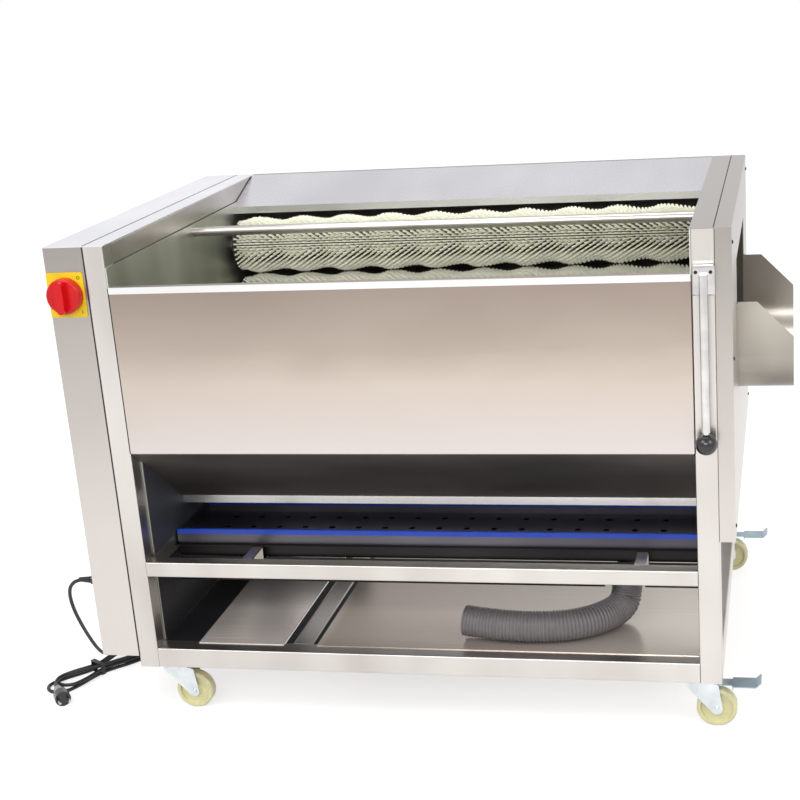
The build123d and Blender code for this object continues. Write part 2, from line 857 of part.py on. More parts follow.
def build_pan():
    """A channel under the tray, whose flanges carry it, with a spigot in its floor."""
    x0 = trough_left
    x1 = trough_right
    y0 = mid_y + tray_front - pan_overhang
    y1 = mid_y + tray_front + tray_width + pan_overhang
    flange_z = tray_floor - move_gap
    floor_z = flange_z - pan_depth
    spigot = (left + spigot_place, mid_y + spigot_y)
    with BuildPart() as pan:
        with BuildSketch(yz_at(x0)):
            folds = [
                (y0, flange_z),
                (y0 + pan_flange, flange_z),
                (y0 + pan_flange, floor_z),
                (y1 - pan_flange, floor_z),
                (y1 - pan_flange, flange_z),
                (y1, flange_z),
            ]
            bent(folds, sheet, Side.RIGHT)
        extrude(amount=x1 - x0)
        for x in (x0, x1 - sheet):
            with BuildSketch(yz_at(x)):
                span(y0 + pan_flange, y1 - pan_flange, floor_z, flange_z - move_gap)
            extrude(amount=sheet)
        spigot_end = floor_z - spigot_length
        nipple_end = spigot_end - spigot_nipple
        for radius, low, high in (
            (spigot_radius, spigot_end, floor_z - sheet),
            (hose_radius, spigot_end, spigot_end + spigot_collar),
            (hose_radius - hose_wall - running_fit, nipple_end, spigot_end),
        ):
            with BuildSketch(Plane.XY.offset(low)):
                with Locations(spigot):
                    Circle(radius)
            extrude(amount=high - low)
        with BuildSketch(Plane.XY.offset(nipple_end)):
            with Locations(spigot):
                Circle(spigot_radius - spigot_wall)
        extrude(amount=floor_z - nipple_end, mode=Mode.SUBTRACT)
    save(pan, "drain_pan")
    strap_z = floor_z - sheet - strap
    strap_top = flange_z - sheet
    with BuildPart() as supports:
        for place in strap_places:
            with BuildSketch(yz_at(left + place)):
                folds = [
                    (front + rail_tube, strap_top - strap),
                    (y0, strap_top - strap),
                    (y0, strap_z),
                    (y1, strap_z),
                    (y1, strap_top),
                ]
                bent(folds, strap, Side.LEFT)
            extrude(amount=strap_width)
    save(supports, "pan_supports")


def corner_radii(points):
    """For each corner, a share of its shorter run over the tangent of half its turn."""
    radii = []
    for before, corner, after in zip(points, points[1:], points[2:]):
        run_in = Vector(*corner) - Vector(*before)
        run_out = Vector(*after) - Vector(*corner)
        turn = run_in.get_angle(run_out)
        radii.append(bend_share * min(run_in.length, run_out.length) / tan(radians(turn) / 2))
    return radii


def hose_points():
    """The drain hose drops from the spigot and lies along the floor plates."""
    floor_z = base + tube + sheet + hose_radius
    x = left + spigot_place
    y = mid_y + spigot_y
    z = tray_floor - move_gap - pan_depth - spigot_length
    return [
        (x, y, z),
        (x, y, z - 33),
        (x - 11, y - 23, floor_z),
        (x - 55, y - 80, floor_z),
        (x - 110, y - 108, floor_z),
        (x - 185, y - 116, floor_z),
        (x - 250, y - 110, floor_z + 1),
        (x - 303, y - 103, floor_z + 5),
    ]


def build_hose():
    points = hose_points()
    radii = corner_radii(points)
    print("drain hose radii", [round(r) for r in radii])
    with BuildPart() as hose:
        with BuildLine() as path:
            FilletPolyline(*points, radius=radii)
        with BuildSketch(Plane(origin=path.wires()[0] @ 0, z_dir=path.wires()[0] % 0)):
            Circle(hose_radius)
            Circle(hose_radius - hose_wall, mode=Mode.SUBTRACT)
        sweep()
    section = pi * (hose_radius ** 2 - (hose_radius - hose_wall) ** 2)
    print("drain hose length", round(path.wires()[0].length), "volume ratio",
          round(hose.part.volume / (section * path.wires()[0].length), 4))
    save(hose, "drain_hose")


def build_floor_plates():
    z = base + tube
    with BuildPart() as plates:
        for x0, x1 in (floor_plate_1, floor_plate_2):
            with BuildSketch(Plane.XY.offset(z)):
                span(left + x0, left + x1, front_in - plate_lap, back_in + plate_lap)
            extrude(amount=sheet)
    save(plates, "floor_plates")


# ---------------------------------------------------------------- switch
def build_switch():
    x = left + switch_x
    with BuildPart() as plate:
        with BuildSketch(xz_at(front)):
            with Locations((x, switch_z)):
                RectangleRounded(switch_plate_width, switch_plate_height, switch_corner)
                Circle(spindle_radius + 1, mode=Mode.SUBTRACT)
        extrude(amount=switch_plate)
    save(plate, "switch_plate")
    with BuildPart() as body:
        with BuildSketch(xz_at(front + sheet + switch_body_depth)):
            with Locations((x + 1, switch_z)):
                RectangleRounded(switch_body_size, switch_body_size, switch_corner)
        extrude(amount=switch_body_depth)
        with BuildSketch(xz_at(front + sheet + switch_body_depth / 2)):
            with Locations((x, switch_z)):
                Circle(spindle_radius + running_fit)
        extrude(amount=switch_body_depth / 2, mode=Mode.SUBTRACT)
    save(body, "switch_body")
    knob_face = front - switch_plate - move_gap
    with BuildPart() as knob:
        with BuildSketch(xz_at(knob_face)):
            with Locations((x, switch_z)):
                Circle(knob_radius)
        extrude(amount=knob_base)
        fillet(knob.faces().sort_by(Axis.Y)[0].edges(), knob_edge)
        with BuildSketch(xz_at(knob_face - knob_base + knob_edge)):
            with Locations((x, switch_z)):
                SlotOverall(2 * (knob_radius - knob_inset), knob_grip, rotation=90)
        extrude(amount=knob_reach - knob_base - knob_edge)
        with BuildSketch(xz_at(front + sheet + switch_body_depth / 2 - move_gap)):
            with Locations((x, switch_z)):
                Circle(spindle_radius)
        extrude(amount=switch_body_depth / 2 + sheet + switch_plate + move_gap)
    save(knob, "switch_knob")


# ---------------------------------------------------------------- casters
def caster_places():
    """The four swivel axes, front left, front right, rear right and rear left."""
    x0 = post_left + caster_inset
    x1 = post_right + tube - caster_inset + right_caster_shift
    y0 = front + caster_inset
    y1 = back - caster_inset
    return [(x0, y0), (x1, y0), (x1, y1), (x0, y1)]


def build_caster_plates():
    z = base - caster_plate_depth
    with BuildPart() as plates:
        with BuildSketch(Plane.XY.offset(z)):
            with Locations(*caster_places()):
                RectangleRounded(caster_plate, caster_plate, caster_plate_corner)
                Circle(kingpin_radius + running_fit, mode=Mode.SUBTRACT)
        extrude(amount=caster_plate_depth)
    save(plates, "caster_plates")


def build_caster(number, x, y, has_pedal):
    """A fork that turns on its kingpin, and the wheel on the fork's axle."""
    axle_x = x + caster_trail
    bridge_z = base - fork_top - fork_sheet
    leg_y = wheel_width / 2 + fork_gap
    race_z = base - caster_plate_depth - move_gap
    with BuildPart() as fork:
        with BuildSketch(xz_at(y + leg_y + fork_sheet)):
            with Locations((axle_x, wheel_radius)):
                Circle(axle_radius + axle_cheek)
            with Locations((x, bridge_z - fork_sheet)):
                Rectangle(2 * race_radius, 2 * fork_sheet)
            with Locations((x + pedal_pin_x, pedal_pin_z)):
                Circle(pedal_pin_radius + pedal_cheek)
            make_hull()
        extrude(amount=2 * (leg_y + fork_sheet))
        with BuildSketch(xz_at(y + leg_y)):
            span(x - caster_trail * 2, axle_x + wheel_radius, 0, bridge_z - fork_sheet)
        extrude(amount=2 * leg_y, mode=Mode.SUBTRACT)
        with BuildSketch(Plane.XY.offset(bridge_z - fork_sheet)):
            with Locations((x, y)):
                Circle(race_radius)
        extrude(amount=race_z - bridge_z + fork_sheet)
        with BuildSketch(Plane.XY.offset(race_z)):
            with Locations((x, y)):
                Circle(kingpin_radius)
        extrude(amount=base - race_z)
        with BuildSketch(xz_at(y + leg_y + 2 * fork_sheet)):
            with Locations((axle_x, wheel_radius)):
                Circle(axle_radius)
            if has_pedal:
                with Locations((x + pedal_pin_x, pedal_pin_z)):
                    Circle(pedal_pin_radius)
        extrude(amount=2 * (leg_y + 2 * fork_sheet))
    save(fork, f"caster_fork_{number}")
    hub = leg_y - move_gap
    steps = [
        (axle_radius + running_fit, hub),
        (wheel_hub_radius, hub),
        (wheel_web_radius, wheel_width / 4),
        (wheel_radius - wheel_rim, wheel_width / 4),
        (wheel_radius - wheel_lip, wheel_width / 2),
        (wheel_radius - tread_edge, wheel_width / 2),
        (wheel_radius, wheel_width / 2 - tread_edge),
    ]
    profile = [(axle_x + radius, y + side) for radius, side in steps]
    profile += [(axle_x + radius, y - side) for radius, side in reversed(steps)]
    with BuildPart() as wheel:
        with BuildSketch(Plane.XY.offset(wheel_radius)):
            with BuildLine():
                Polyline(*profile, close=True)
            make_face()
        revolve(axis=Axis((axle_x, y, wheel_radius), (0, 1, 0)))
    save(wheel, f"caster_wheel_{number}")


def build_pedal(number, x, y):
    """A brake pedal on a pin between the fork's legs, with a wide lipped pad beyond them."""
    pin_x = x + pedal_pin_x
    half = wheel_width / 2 + fork_gap - move_gap
    sleeve = pedal_pin_radius + pedal_sheet
    arm_z = pedal_pin_z + sleeve
    tip_x = pin_x + pedal_length
    pad_x = pin_x + pedal_pad_start
    with BuildPart() as pedal:
        with BuildSketch(xz_at(y + half)):
            with Locations((pin_x, pedal_pin_z)):
                Circle(sleeve)
            bent([(pin_x, arm_z), (pad_x + sleeve, arm_z)], pedal_sheet, Side.RIGHT)
            with Locations((pin_x, pedal_pin_z)):
                Circle(pedal_pin_radius + running_fit, mode=Mode.SUBTRACT)
        extrude(amount=2 * half)
        with BuildSketch(xz_at(y + pedal_pad_width / 2)):
            folds = [
                (pad_x, arm_z - pedal_pad_lip),
                (pad_x, arm_z),
                (tip_x - pedal_lift, arm_z),
                (tip_x, arm_z + pedal_lift),
            ]
            bent(folds, pedal_sheet, Side.RIGHT)
        extrude(amount=pedal_pad_width)
    save(pedal, f"brake_pedal_{number}")


# ---------------------------------------------------------------- mains lead
def build_gland():
    y = front + gland_y
    with BuildPart() as gland:
        with BuildSketch(yz_at(left)):
            with Locations((y, gland_z)):
                RegularPolygon(gland_nut, 6)
        extrude(amount=-gland_length / 3)
        with BuildSketch(yz_at(left - gland_length / 3)):
            with Locations((y, gland_z)):
                Circle(gland_radius)
        extrude(amount=-gland_length * 2 / 3)
        chamfer(gland.faces().sort_by(Axis.X)[0].edges(), gland_edge)
        with BuildSketch(yz_at(left)):
            with Locations((y, gland_z)):
                Circle(gland_thread_radius)
        extrude(amount=sheet + gland_thread)
    save(gland, "cable_gland")


def cord_points():
    """The lead bulges out of the gland and sweeps down and back to the far end of its hank."""
    x = left - gland_length
    y = front + gland_y
    return [
        (x, y, gland_z),
        (x - 25, y, gland_z),
        (x - 46, y + 4, gland_z - 13),
        (x - 57, y + 12, gland_z - 36),
        (x - 62, y + 28, gland_z - 75),
        (x - 66, y + 57, gland_z - 122),
        (x - 72, y + 92, gland_z - 167),
        (x - 80, y + 130, gland_z - 208),
        (x - 88, y + 164, gland_z - 238),
        (x - 93, y + 194, gland_z - 260),
        (x - 88, y + 220, cord_radius + 3),
        (x - 68, y + 236, cord_radius + 2),
    ]


def build_cord():
    points = cord_points()
    radii = corner_radii(points)
    print("mains lead radii", [round(r) for r in radii])
    with BuildPart() as cord:
        with BuildLine() as path:
            FilletPolyline(*points, radius=radii)
        with BuildSketch(Plane(origin=path.wires()[0] @ 0, z_dir=path.wires()[0] % 0)):
            Circle(cord_radius)
        sweep()
    print("mains lead length", round(path.wires()[0].length), "volume ratio",
          round(cord.part.volume / (pi * cord_radius ** 2 * path.wires()[0].length), 4))
    save(cord, "power_cord")


def build_hank():
    """The folded spare length of the lead, drawn in at its tie."""
    middle = ((hank_near[0] + hank_far[0]) / 2, (hank_near[1] + hank_far[1]) / 2)
    with BuildPart() as hank:
        with BuildSketch():
            for end in (hank_near, hank_far):
                with BuildSketch(mode=Mode.PRIVATE) as lobe:
                    with Locations(end):
                        Circle(hank_end)
                    with Locations(middle):
                        Circle(hank_waist)
                    make_hull()
                add(lobe.sketch)
        extrude(amount=hank_height)
    save(hank, "cord_hank")


def build_plug():
    """A round plug lying on its side, tapering to its tail, with two round pins."""
    run = (plug_nose[0] - plug_tail[0], plug_nose[1] - plug_tail[1])
    length = (run[0] ** 2 + run[1] ** 2) ** 0.5
    lying = Plane(origin=(*plug_tail, plug_radius), z_dir=(*run, 0), x_dir=(-run[1], run[0], 0))
    with BuildPart() as plug:
        with BuildSketch(lying):
            Circle(plug_tail_radius)
        with BuildSketch(lying.offset(length * plug_cone_share)):
            Circle(plug_radius)
        loft()
        with BuildSketch(lying.offset(length * plug_cone_share)):
            Circle(plug_radius)
        extrude(amount=length * (1 - plug_cone_share))
        with BuildSketch(lying.offset(length)):
            with GridLocations(plug_pin_spread, 1, 2, 1):
                Circle(plug_pin_radius)
        extrude(amount=plug_pin_length)
        with BuildSketch(lying):
            Circle(cord_radius)
        extrude(amount=-plug_relief)
    save(plug, "plug")


# ---------------------------------------------------------------- the machine
def build_all():
    build_frame()
    build_drive_housing()
    build_drive_cover()
    build_left_wall()
    build_right_wall()
    build_front_panel()
    build_rear_panel()
    build_rear_guide()
    build_front_guide()
    build_deflectors()
    build_end_cover()
    build_chute()
    build_gate()
    for number, (y, z) in enumerate(roller_places, 1):
        build_brush(number, y, z)
        build_shaft(number, y, z)
    build_bearings("left_bearings", wall_left, -1)
    build_bearings("right_bearings", post_right, 1)
    build_chain("roller_chain", roller_places, roller_chain_x)
    drive_loop = [driven_place, (motor_y, motor_z)]
    build_chain("drive_chain", drive_loop, drive_chain_x)
    build_gearmotor()
    build_spray_pipe()
    build_tray()
    build_pan()
    build_hose()
    build_floor_plates()
    build_switch()
    build_caster_plates()
    for number, (x, y) in enumerate(caster_places(), 1):
        has_pedal = x > 0
        build_caster(number, x, y, has_pedal)
        if has_pedal:
            build_pedal(number, x, y)
    build_gland()
    build_cord()
    build_hank()
    build_plug()


os.makedirs("parts", exist_ok=True)
build_all()
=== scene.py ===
"""A stainless brush-roller washing and peeling machine: finishes, bristles, lead and hose."""

import math

import bmesh
import bpy
from mathutils import Matrix, Vector


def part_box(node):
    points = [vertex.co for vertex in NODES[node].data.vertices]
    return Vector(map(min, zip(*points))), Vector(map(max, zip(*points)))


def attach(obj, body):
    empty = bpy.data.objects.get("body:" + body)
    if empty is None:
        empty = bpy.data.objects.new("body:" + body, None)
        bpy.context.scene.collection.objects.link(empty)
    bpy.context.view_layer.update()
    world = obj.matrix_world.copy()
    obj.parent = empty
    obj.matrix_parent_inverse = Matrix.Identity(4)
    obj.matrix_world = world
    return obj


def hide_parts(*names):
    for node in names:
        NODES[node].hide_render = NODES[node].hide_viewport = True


MM = 0.001
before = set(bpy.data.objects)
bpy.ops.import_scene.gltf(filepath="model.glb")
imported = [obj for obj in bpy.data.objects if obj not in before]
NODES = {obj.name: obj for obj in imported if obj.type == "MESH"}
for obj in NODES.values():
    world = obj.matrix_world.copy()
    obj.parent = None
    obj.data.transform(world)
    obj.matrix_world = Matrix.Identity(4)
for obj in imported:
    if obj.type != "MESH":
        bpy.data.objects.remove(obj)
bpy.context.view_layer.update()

# ---------------------------------------------------------------- places read from the frame
panel_low, panel_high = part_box("front_panel")
box_low, box_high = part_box("drive_housing")
cover_low, cover_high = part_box("end_cover")
guide_low, guide_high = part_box("rear_guide")
tray_low, tray_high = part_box("filter_tray")
pan_low, pan_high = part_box("drain_pan")
plate_low, plate_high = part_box("switch_plate")
lever_low, lever_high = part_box("gate_lever")
floor_plate_low, floor_plate_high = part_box("floor_plates")

LEFT = box_low.x
RIGHT = cover_high.x
FRONT = box_low.y
BACK = box_high.y
TOP = cover_high.z
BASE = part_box("frame")[0].z
WALL_LEFT = panel_low.x

# The floor of the lower bay, from the left end: a plate, the cross rail and a longer plate
PLATE_1_START, PLATE_1_END = LEFT + 193 * MM, LEFT + 367 * MM
CROSS_RAIL = LEFT + 404 * MM
PLATE_2_START, PLATE_2_END = LEFT + 435 * MM, LEFT + 1169 * MM


# ---------------------------------------------------------------- colour and node helpers
def linear(hex_colour):
    """An sRGB hex colour as the linear values that a shader takes."""
    channels = []
    for start in (0, 2, 4):
        value = int(hex_colour[start : start + 2], 16) / 255
        channels.append(value / 12.92 if value <= 0.04045 else ((value + 0.055) / 1.055) ** 2.4)
    return (*channels, 1.0)


def add(tree, kind, inputs=(), stops=(), **settings):
    """A node with its settings and, on a colour ramp, its (place, linear colour) stops.

    Its inputs, by name or in order, are values or the nodes and sockets that feed them.
    """
    node = tree.nodes.new(kind)
    for name, value in settings.items():
        setattr(node, name, value)
    for socket, source in inputs.items() if isinstance(inputs, dict) else enumerate(inputs):
        if isinstance(source, bpy.types.Node):
            source = source.outputs[0]
        if isinstance(source, bpy.types.NodeSocket):
            tree.links.new(source, node.inputs[socket])
        else:
            node.inputs[socket].default_value = source
    for _ in stops[2:]:
        node.color_ramp.elements.new(0.5)
    for index, (place, colour) in enumerate(stops):
        node.color_ramp.elements[index].position = place
        node.color_ramp.elements[index].color = colour
    return node


def start_material(name):
    """A new material, its emptied tree and the place on the piece that its patterns read."""
    made = bpy.data.materials.new(name)
    made.use_nodes = True
    tree = made.node_tree
    tree.nodes.clear()
    return made, tree, add(tree, "ShaderNodeTexCoord").outputs["Object"]


def end_material(made, inputs):
    """The shader, with its values and what feeds them, as the material's surface."""
    shader = add(made.node_tree, "ShaderNodeBsdfPrincipled", inputs)
    add(made.node_tree, "ShaderNodeOutputMaterial", {"Surface": shader})
    return made


def cells(tree, place, size_mm, detail=2.0):
    """A cloudy pattern whose cells measure size_mm along X, Y and Z."""
    scale = tuple(1.0 / (size * MM) for size in size_mm)
    stretched = add(tree, "ShaderNodeMapping", {"Vector": place, "Scale": scale})
    inputs = {"Vector": stretched, "Scale": 1.0, "Detail": detail, "Roughness": 0.55}
    return add(tree, "ShaderNodeTexNoise", inputs)


def seen_directly(tree):
    """1 for what the camera sees by itself, in a mirror or through glass, and 0 for the light it gives."""
    paths = add(tree, "ShaderNodeLightPath").outputs
    sharp = add(
        tree, "ShaderNodeMath", (paths["Is Glossy Ray"], paths["Is Transmission Ray"]), operation="MAXIMUM"
    )
    return add(tree, "ShaderNodeMath", (paths["Is Camera Ray"], sharp), operation="MAXIMUM")


# ---------------------------------------------------------------- finishes
HEIGHT_NAME = "height_on_strand"
SCRATCH_MM, STREAK_MM, CLOUD_MM = 0.7, 240.0, 190.0
BRUSH_DEPTH = 0.02 * MM


def belt_lines(tree, place, grain):
    """Lines along the grain. A belt leaves them 0.1 mm apart, too fine to show, so these are wider."""
    size = [SCRATCH_MM] * 3
    size["XYZ".index(grain)] = STREAK_MM
    return cells(tree, place, size)


def stainless(name, grain, light="D6D2CE", dark="BDB8B3", roughness=(0.24, 0.36)):
    """304 sheet, belt-brushed: fine lines along the grain, broad faint clouds from handling."""
    made, tree, place = start_material(name)
    lines = belt_lines(tree, place, grain)
    cloud_size = [CLOUD_MM] * 3
    cloud_size["XYZ".index(grain)] = 2.4 * CLOUD_MM
    clouds = cells(tree, place, cloud_size)
    tint = add(tree, "ShaderNodeValToRGB", (clouds,), stops=[(0.3, linear(dark)), (0.7, linear(light))])
    line_part = add(tree, "ShaderNodeMath", (lines, 0.6), operation="MULTIPLY")
    both = add(tree, "ShaderNodeMath", (clouds, 0.4, line_part), operation="MULTIPLY_ADD")
    rough = {"Value": both, "To Min": roughness[0], "To Max": roughness[1]}
    relief = {"Height": lines, "Strength": 0.5, "Distance": BRUSH_DEPTH}
    inputs = {
        "Base Color": tint,
        "Metallic": 1.0,
        "Roughness": add(tree, "ShaderNodeMapRange", rough),
        "Normal": add(tree, "ShaderNodeBump", relief),
    }
    return end_material(made, inputs)


def graded(name, axis, places, colours, roughness, grain="X", spread_mm=60.0, metallic=1.0):
    """Brushed 304 sheet whose tone changes along one axis: painted reflection and shade of the room's light,
    shifted a little at random.
    """
    made, tree, place = start_material(name)
    along = add(tree, "ShaderNodeSeparateXYZ", (place,)).outputs[axis]
    drift = cells(tree, place, (420.0, 420.0, 160.0))
    lines = belt_lines(tree, place, grain)
    wander = {"Value": drift, "To Min": -spread_mm * MM, "To Max": spread_mm * MM}
    moved = add(tree, "ShaderNodeMath", (along, add(tree, "ShaderNodeMapRange", wander)), operation="ADD")
    first, length = places[0], places[-1] - places[0]
    share = add(tree, "ShaderNodeMapRange", {"Value": moved, "From Min": first, "From Max": places[-1]})
    stops = [((at - first) / length, linear(colour)) for at, colour in zip(places, colours)]
    rough = {"Value": lines, "To Min": roughness[0], "To Max": roughness[1]}
    relief = {"Height": lines, "Strength": 0.5, "Distance": BRUSH_DEPTH}
    inputs = {
        "Base Color": add(tree, "ShaderNodeValToRGB", (share,), stops=stops),
        "Metallic": metallic,
        "Roughness": add(tree, "ShaderNodeMapRange", rough),
        "Normal": add(tree, "ShaderNodeBump", relief),
    }
    return end_material(made, inputs)


def plain_metal(name, colour, roughness, grit_mm=0.8, depth_mm=0.015, metallic=1.0):
    """Cast, plated or drawn metal: an even fine grit under its shine."""
    made, tree, place = start_material(name)
    grit = cells(tree, place, (grit_mm,) * 3, detail=4.0)
    patches = cells(tree, place, (40.0, 40.0, 40.0))
    base = linear(colour)
    darker = (*(channel * 0.82 for channel in base[:3]), 1.0)
    rough = {"Value": grit, "To Min": roughness * 0.8, "To Max": roughness * 1.2}
    relief = {"Height": grit, "Strength": 0.6, "Distance": depth_mm * MM}
    inputs = {
        "Base Color": add(tree, "ShaderNodeValToRGB", (patches,), stops=[(0.35, darker), (0.65, base)]),
        "Metallic": metallic,
        "Roughness": add(tree, "ShaderNodeMapRange", rough),
        "Normal": add(tree, "ShaderNodeBump", relief),
    }
    return end_material(made, inputs)


def moulded(name, colour, roughness, grain_mm=0.5, depth_mm=0.03, coat=0.0, specular=0.5):
    """A moulded plastic: even colour, a fine mould grain, slightly cloudy gloss."""
    made, tree, place = start_material(name)
    grain = cells(tree, place, (grain_mm,) * 3, detail=3.0)
    patches = cells(tree, place, (25.0, 25.0, 25.0))
    base = linear(colour)
    darker = (*(channel * 0.88 for channel in base[:3]), 1.0)
    rough = {"Value": grain, "To Min": roughness * 0.85, "To Max": roughness * 1.2}
    relief = {"Height": grain, "Strength": 0.5, "Distance": depth_mm * MM}
    inputs = {
        "Base Color": add(tree, "ShaderNodeValToRGB", (patches,), stops=[(0.3, darker), (0.7, base)]),
        "Roughness": add(tree, "ShaderNodeMapRange", rough),
        "Normal": add(tree, "ShaderNodeBump", relief),
        "Coat Weight": coat,
        "Specular IOR Level": specular,
    }
    return end_material(made, inputs)


def bristle_nylon():
    """Extruded nylon filament: ivory with a soft shine, darkened towards its root with painted shade."""
    made, tree, place = start_material("bristle_nylon")
    patches = cells(tree, place, (16.0, 16.0, 16.0))
    ivory_tone_stops = [(0.3, linear("F6F6DE")), (0.7, linear("FFFFF4"))]
    ivory_tone = add(tree, "ShaderNodeValToRGB", (patches,), stops=ivory_tone_stops)
    height = add(tree, "ShaderNodeAttribute", attribute_name=HEIGHT_NAME).outputs["Fac"]
    # painted shade: each strand darkens from tip to root, where the tufts shadow one another
    root_shade_stops = [(0.06, linear("46443A")), (0.34, linear("FFFFFF"))]
    painted_root_shade = add(tree, "ShaderNodeValToRGB", (height,), stops=root_shade_stops)
    tint = add(
        tree, "ShaderNodeMix", {0: 1.0, 6: ivory_tone, 7: painted_root_shade}, data_type="RGBA", blend_type="MULTIPLY"
    )
    return end_material(made, {"Base Color": tint.outputs[2], "Roughness": 0.45})


FINISHES = {
    # Brushed 304 sheet: warm grey with fine streaks, paler towards its foot and darker towards its top, a
    # painted reflection of the bright floor
    "panel": graded(
        "stainless_front_sheet_painted_reflection",
        "Z",
        (panel_low.z, panel_low.z + 130 * MM, panel_high.z - 130 * MM, panel_high.z),
        ("CEC6C4", "C6BAAF", "B0A398", "9A8C83"),
        (0.3, 0.4),
    ),
    "upright": graded(
        "stainless_upright_painted_reflection",
        "Z",
        (BASE, BASE + 300 * MM, TOP - 200 * MM, TOP),
        ("CCC6C2", "C8C2BE", "B4AEA8", "A49E9A"),
        (0.24, 0.36),
        grain="Z",
    ),
    # Loose floor plates: pale, the longer one darker beside the cross rail with painted shade
    "deck": graded(
        "stainless_floor_plate_painted_shade",
        "X",
        (PLATE_1_START, PLATE_1_END, PLATE_2_START + 15 * MM, PLATE_2_END),
        ("F0E6E0", "F4E9E3", "A89A90", "E0D8CE"),
        (0.2, 0.3),
        spread_mm=20.0,
        metallic=0.6,
    ),
    # The same sheet and tube, brushed one way; the rear sheet is darker, the deflectors, tray and pan are
    # darkened with painted shade, and the edge strips are bright as a painted highlight
    "back": stainless("stainless_sheet_long_grain", "X", light="8A847E", dark="6E6862"),
    "top": stainless(
        "stainless_sheet_cross_grain", "Y", light="F0F0F6", dark="E2E2EA", roughness=(0.22, 0.32)
    ),
    "tube": stainless("stainless_tube", "Z", light="D8D3CF", dark="BDB7B2"),
    "inner": stainless("stainless_wet_wall", "Z", light="E2E4DC", dark="B4B6AE", roughness=(0.3, 0.45)),
    # painted shade: the deflectors, tray and pan take darker tones for the shade inside the machine
    "shade": stainless("stainless_deflector_painted_shade", "X", light="9A938C", dark="7C7670", roughness=(0.34, 0.5)),
    "tray": stainless("stainless_tray_painted_shade", "X", light="6E6C72", dark="4C4A52", roughness=(0.32, 0.46)),
    "pan": stainless("stainless_pan_painted_shade", "X", light="3A3838", dark="262424", roughness=(0.4, 0.55)),
    "chute": stainless("stainless_chute", "Z", light="C8C2B8", dark="857F77", roughness=(0.26, 0.4)),
    # painted highlight for the strips on rolled edges and lips
    "bright": stainless("stainless_painted_highlight", "X", light="F6F6F4", dark="E2E0DE", roughness=(0.2, 0.3)),
    "bracket": stainless("stainless_bracket", "Z", light="A8A49C", dark="86827A"),
    # Turned and drawn steel: an even shine, oiled and duller on the chains
    "shaft": plain_metal("bright_shaft_steel", "A8A6A2", 0.3),
    "chain": plain_metal("oiled_chain_steel", "6A6864", 0.42, depth_mm=0.05),
    "chrome": plain_metal("polished_lever_steel", "D6D4D2", 0.12, grit_mm=4.0, depth_mm=0.005),
    "dark_steel": plain_metal("black_screw_steel", "3A3836", 0.35),
    "bright_screw": plain_metal("stainless_screw", "C8C6C4", 0.25),
    # Zinc plate: bluish and bright, darker where feet have worn it
    "zinc": plain_metal("zinc_plate", "DDE3E6", 0.26),
    "pedal": plain_metal("zinc_plate_worn", "A9BCC8", 0.3),
    # Sprayed enamel over castings: no metal in its shine, a pebbled surface
    "cast": plain_metal("painted_cast_iron", "3E5A4C", 0.5, grit_mm=1.6, depth_mm=0.12, metallic=0.0),
    "motor": plain_metal("motor_enamel", "4A6A86", 0.42, grit_mm=1.2, depth_mm=0.05, metallic=0.0),
    # Moulded plastics: the wheels satin, the ball and plug glossy, the switch in signal colours
    "nylon": moulded("cast_nylon_wheel", "DCD7A8", 0.36),
    "black": moulded("black_phenolic", "17161A", 0.22, coat=0.3),
    "abs_yellow": moulded("yellow_abs", "E6C41C", 0.34, specular=0.35),
    "abs_red": moulded("red_abs", "C80A12", 0.24, coat=0.1, specular=0.3),
    "seal": moulded("orange_race_seal", "D9804F", 0.4),
    # roller core: dark, painted shade for the gaps between the tufts
    "core": moulded("roller_core_painted_shade", "2E2C24", 0.5, grain_mm=1.0),
    # Soft PVC and rubber: dull; the dark sheets in the lower bays and floor gaps are painted shade, with a
    # coarser surface
    "rubber": moulded("pvc_cord_jacket", "19181B", 0.4, grain_mm=0.3),
    "hose": moulded("grey_pvc_hose", "6A6668", 0.4, depth_mm=0.06),
    "gap": moulded("dark_joint", "1A1816", 0.7),
    # painted shade: dark sheets for the shade on the drive-side wall and in the floor gaps
    "shade_sheet_upper": moulded("upper_bay_painted_shade", "33353D", 0.55, grain_mm=3.0, depth_mm=0.1),
    "shade_sheet_lower": moulded("lower_bay_painted_shade", "121117", 0.5, grain_mm=3.0, depth_mm=0.1),
    # Polythene film: clear blue, a little crinkled
    "film": moulded("blue_protective_film", "1A42B4", 0.3, grain_mm=6.0, depth_mm=0.1),
    "bristle": bristle_nylon(),
}

NODE_FINISH = {
    "frame": "tube",
    "drive_housing": "upright",
    "drive_cover": "top",
    "left_wall": "inner",
    "right_wall": "inner",
    "front_panel": "panel",
    "rear_panel": "back",
    "rear_guide": "top",
    "front_guide": "inner",
    "deflectors": "shade",
    "end_cover": "upright",
    "discharge_chute": "chute",
    "spray_pipe": "tube",
    "spray_bracket": "tube",
    "drain_pan": "pan",
    "pan_supports": "bracket",
    "floor_plates": "deck",
    "filter_tray": "tray",
    "gate_flap": "upright",
    "gate_shaft": "shaft",
    "gate_lever": "chrome",
    "lever_ball": "black",
    "left_bearings": "cast",
    "right_bearings": "cast",
    "roller_chain": "chain",
    "drive_chain": "chain",
    "gearmotor": "motor",
    "motor_stand": "motor",
    "motor_shaft": "shaft",
    "switch_plate": "abs_yellow",
    "switch_body": "black",
    "switch_knob": "abs_red",
    "caster_plates": "zinc",
    "cable_gland": "black",
    "power_cord": "rubber",
    "cord_hank": "rubber",
    "plug": "black",
    "drain_hose": "hose",
}
for number in range(1, 7):
    NODE_FINISH[f"brush_{number}"] = "bristle"
    NODE_FINISH[f"roller_shaft_{number}"] = "shaft"
for number in range(1, 5):
    NODE_FINISH[f"caster_fork_{number}"] = "zinc"
    NODE_FINISH[f"caster_wheel_{number}"] = "nylon"
for number in (2, 3):
    NODE_FINISH[f"brake_pedal_{number}"] = "pedal"


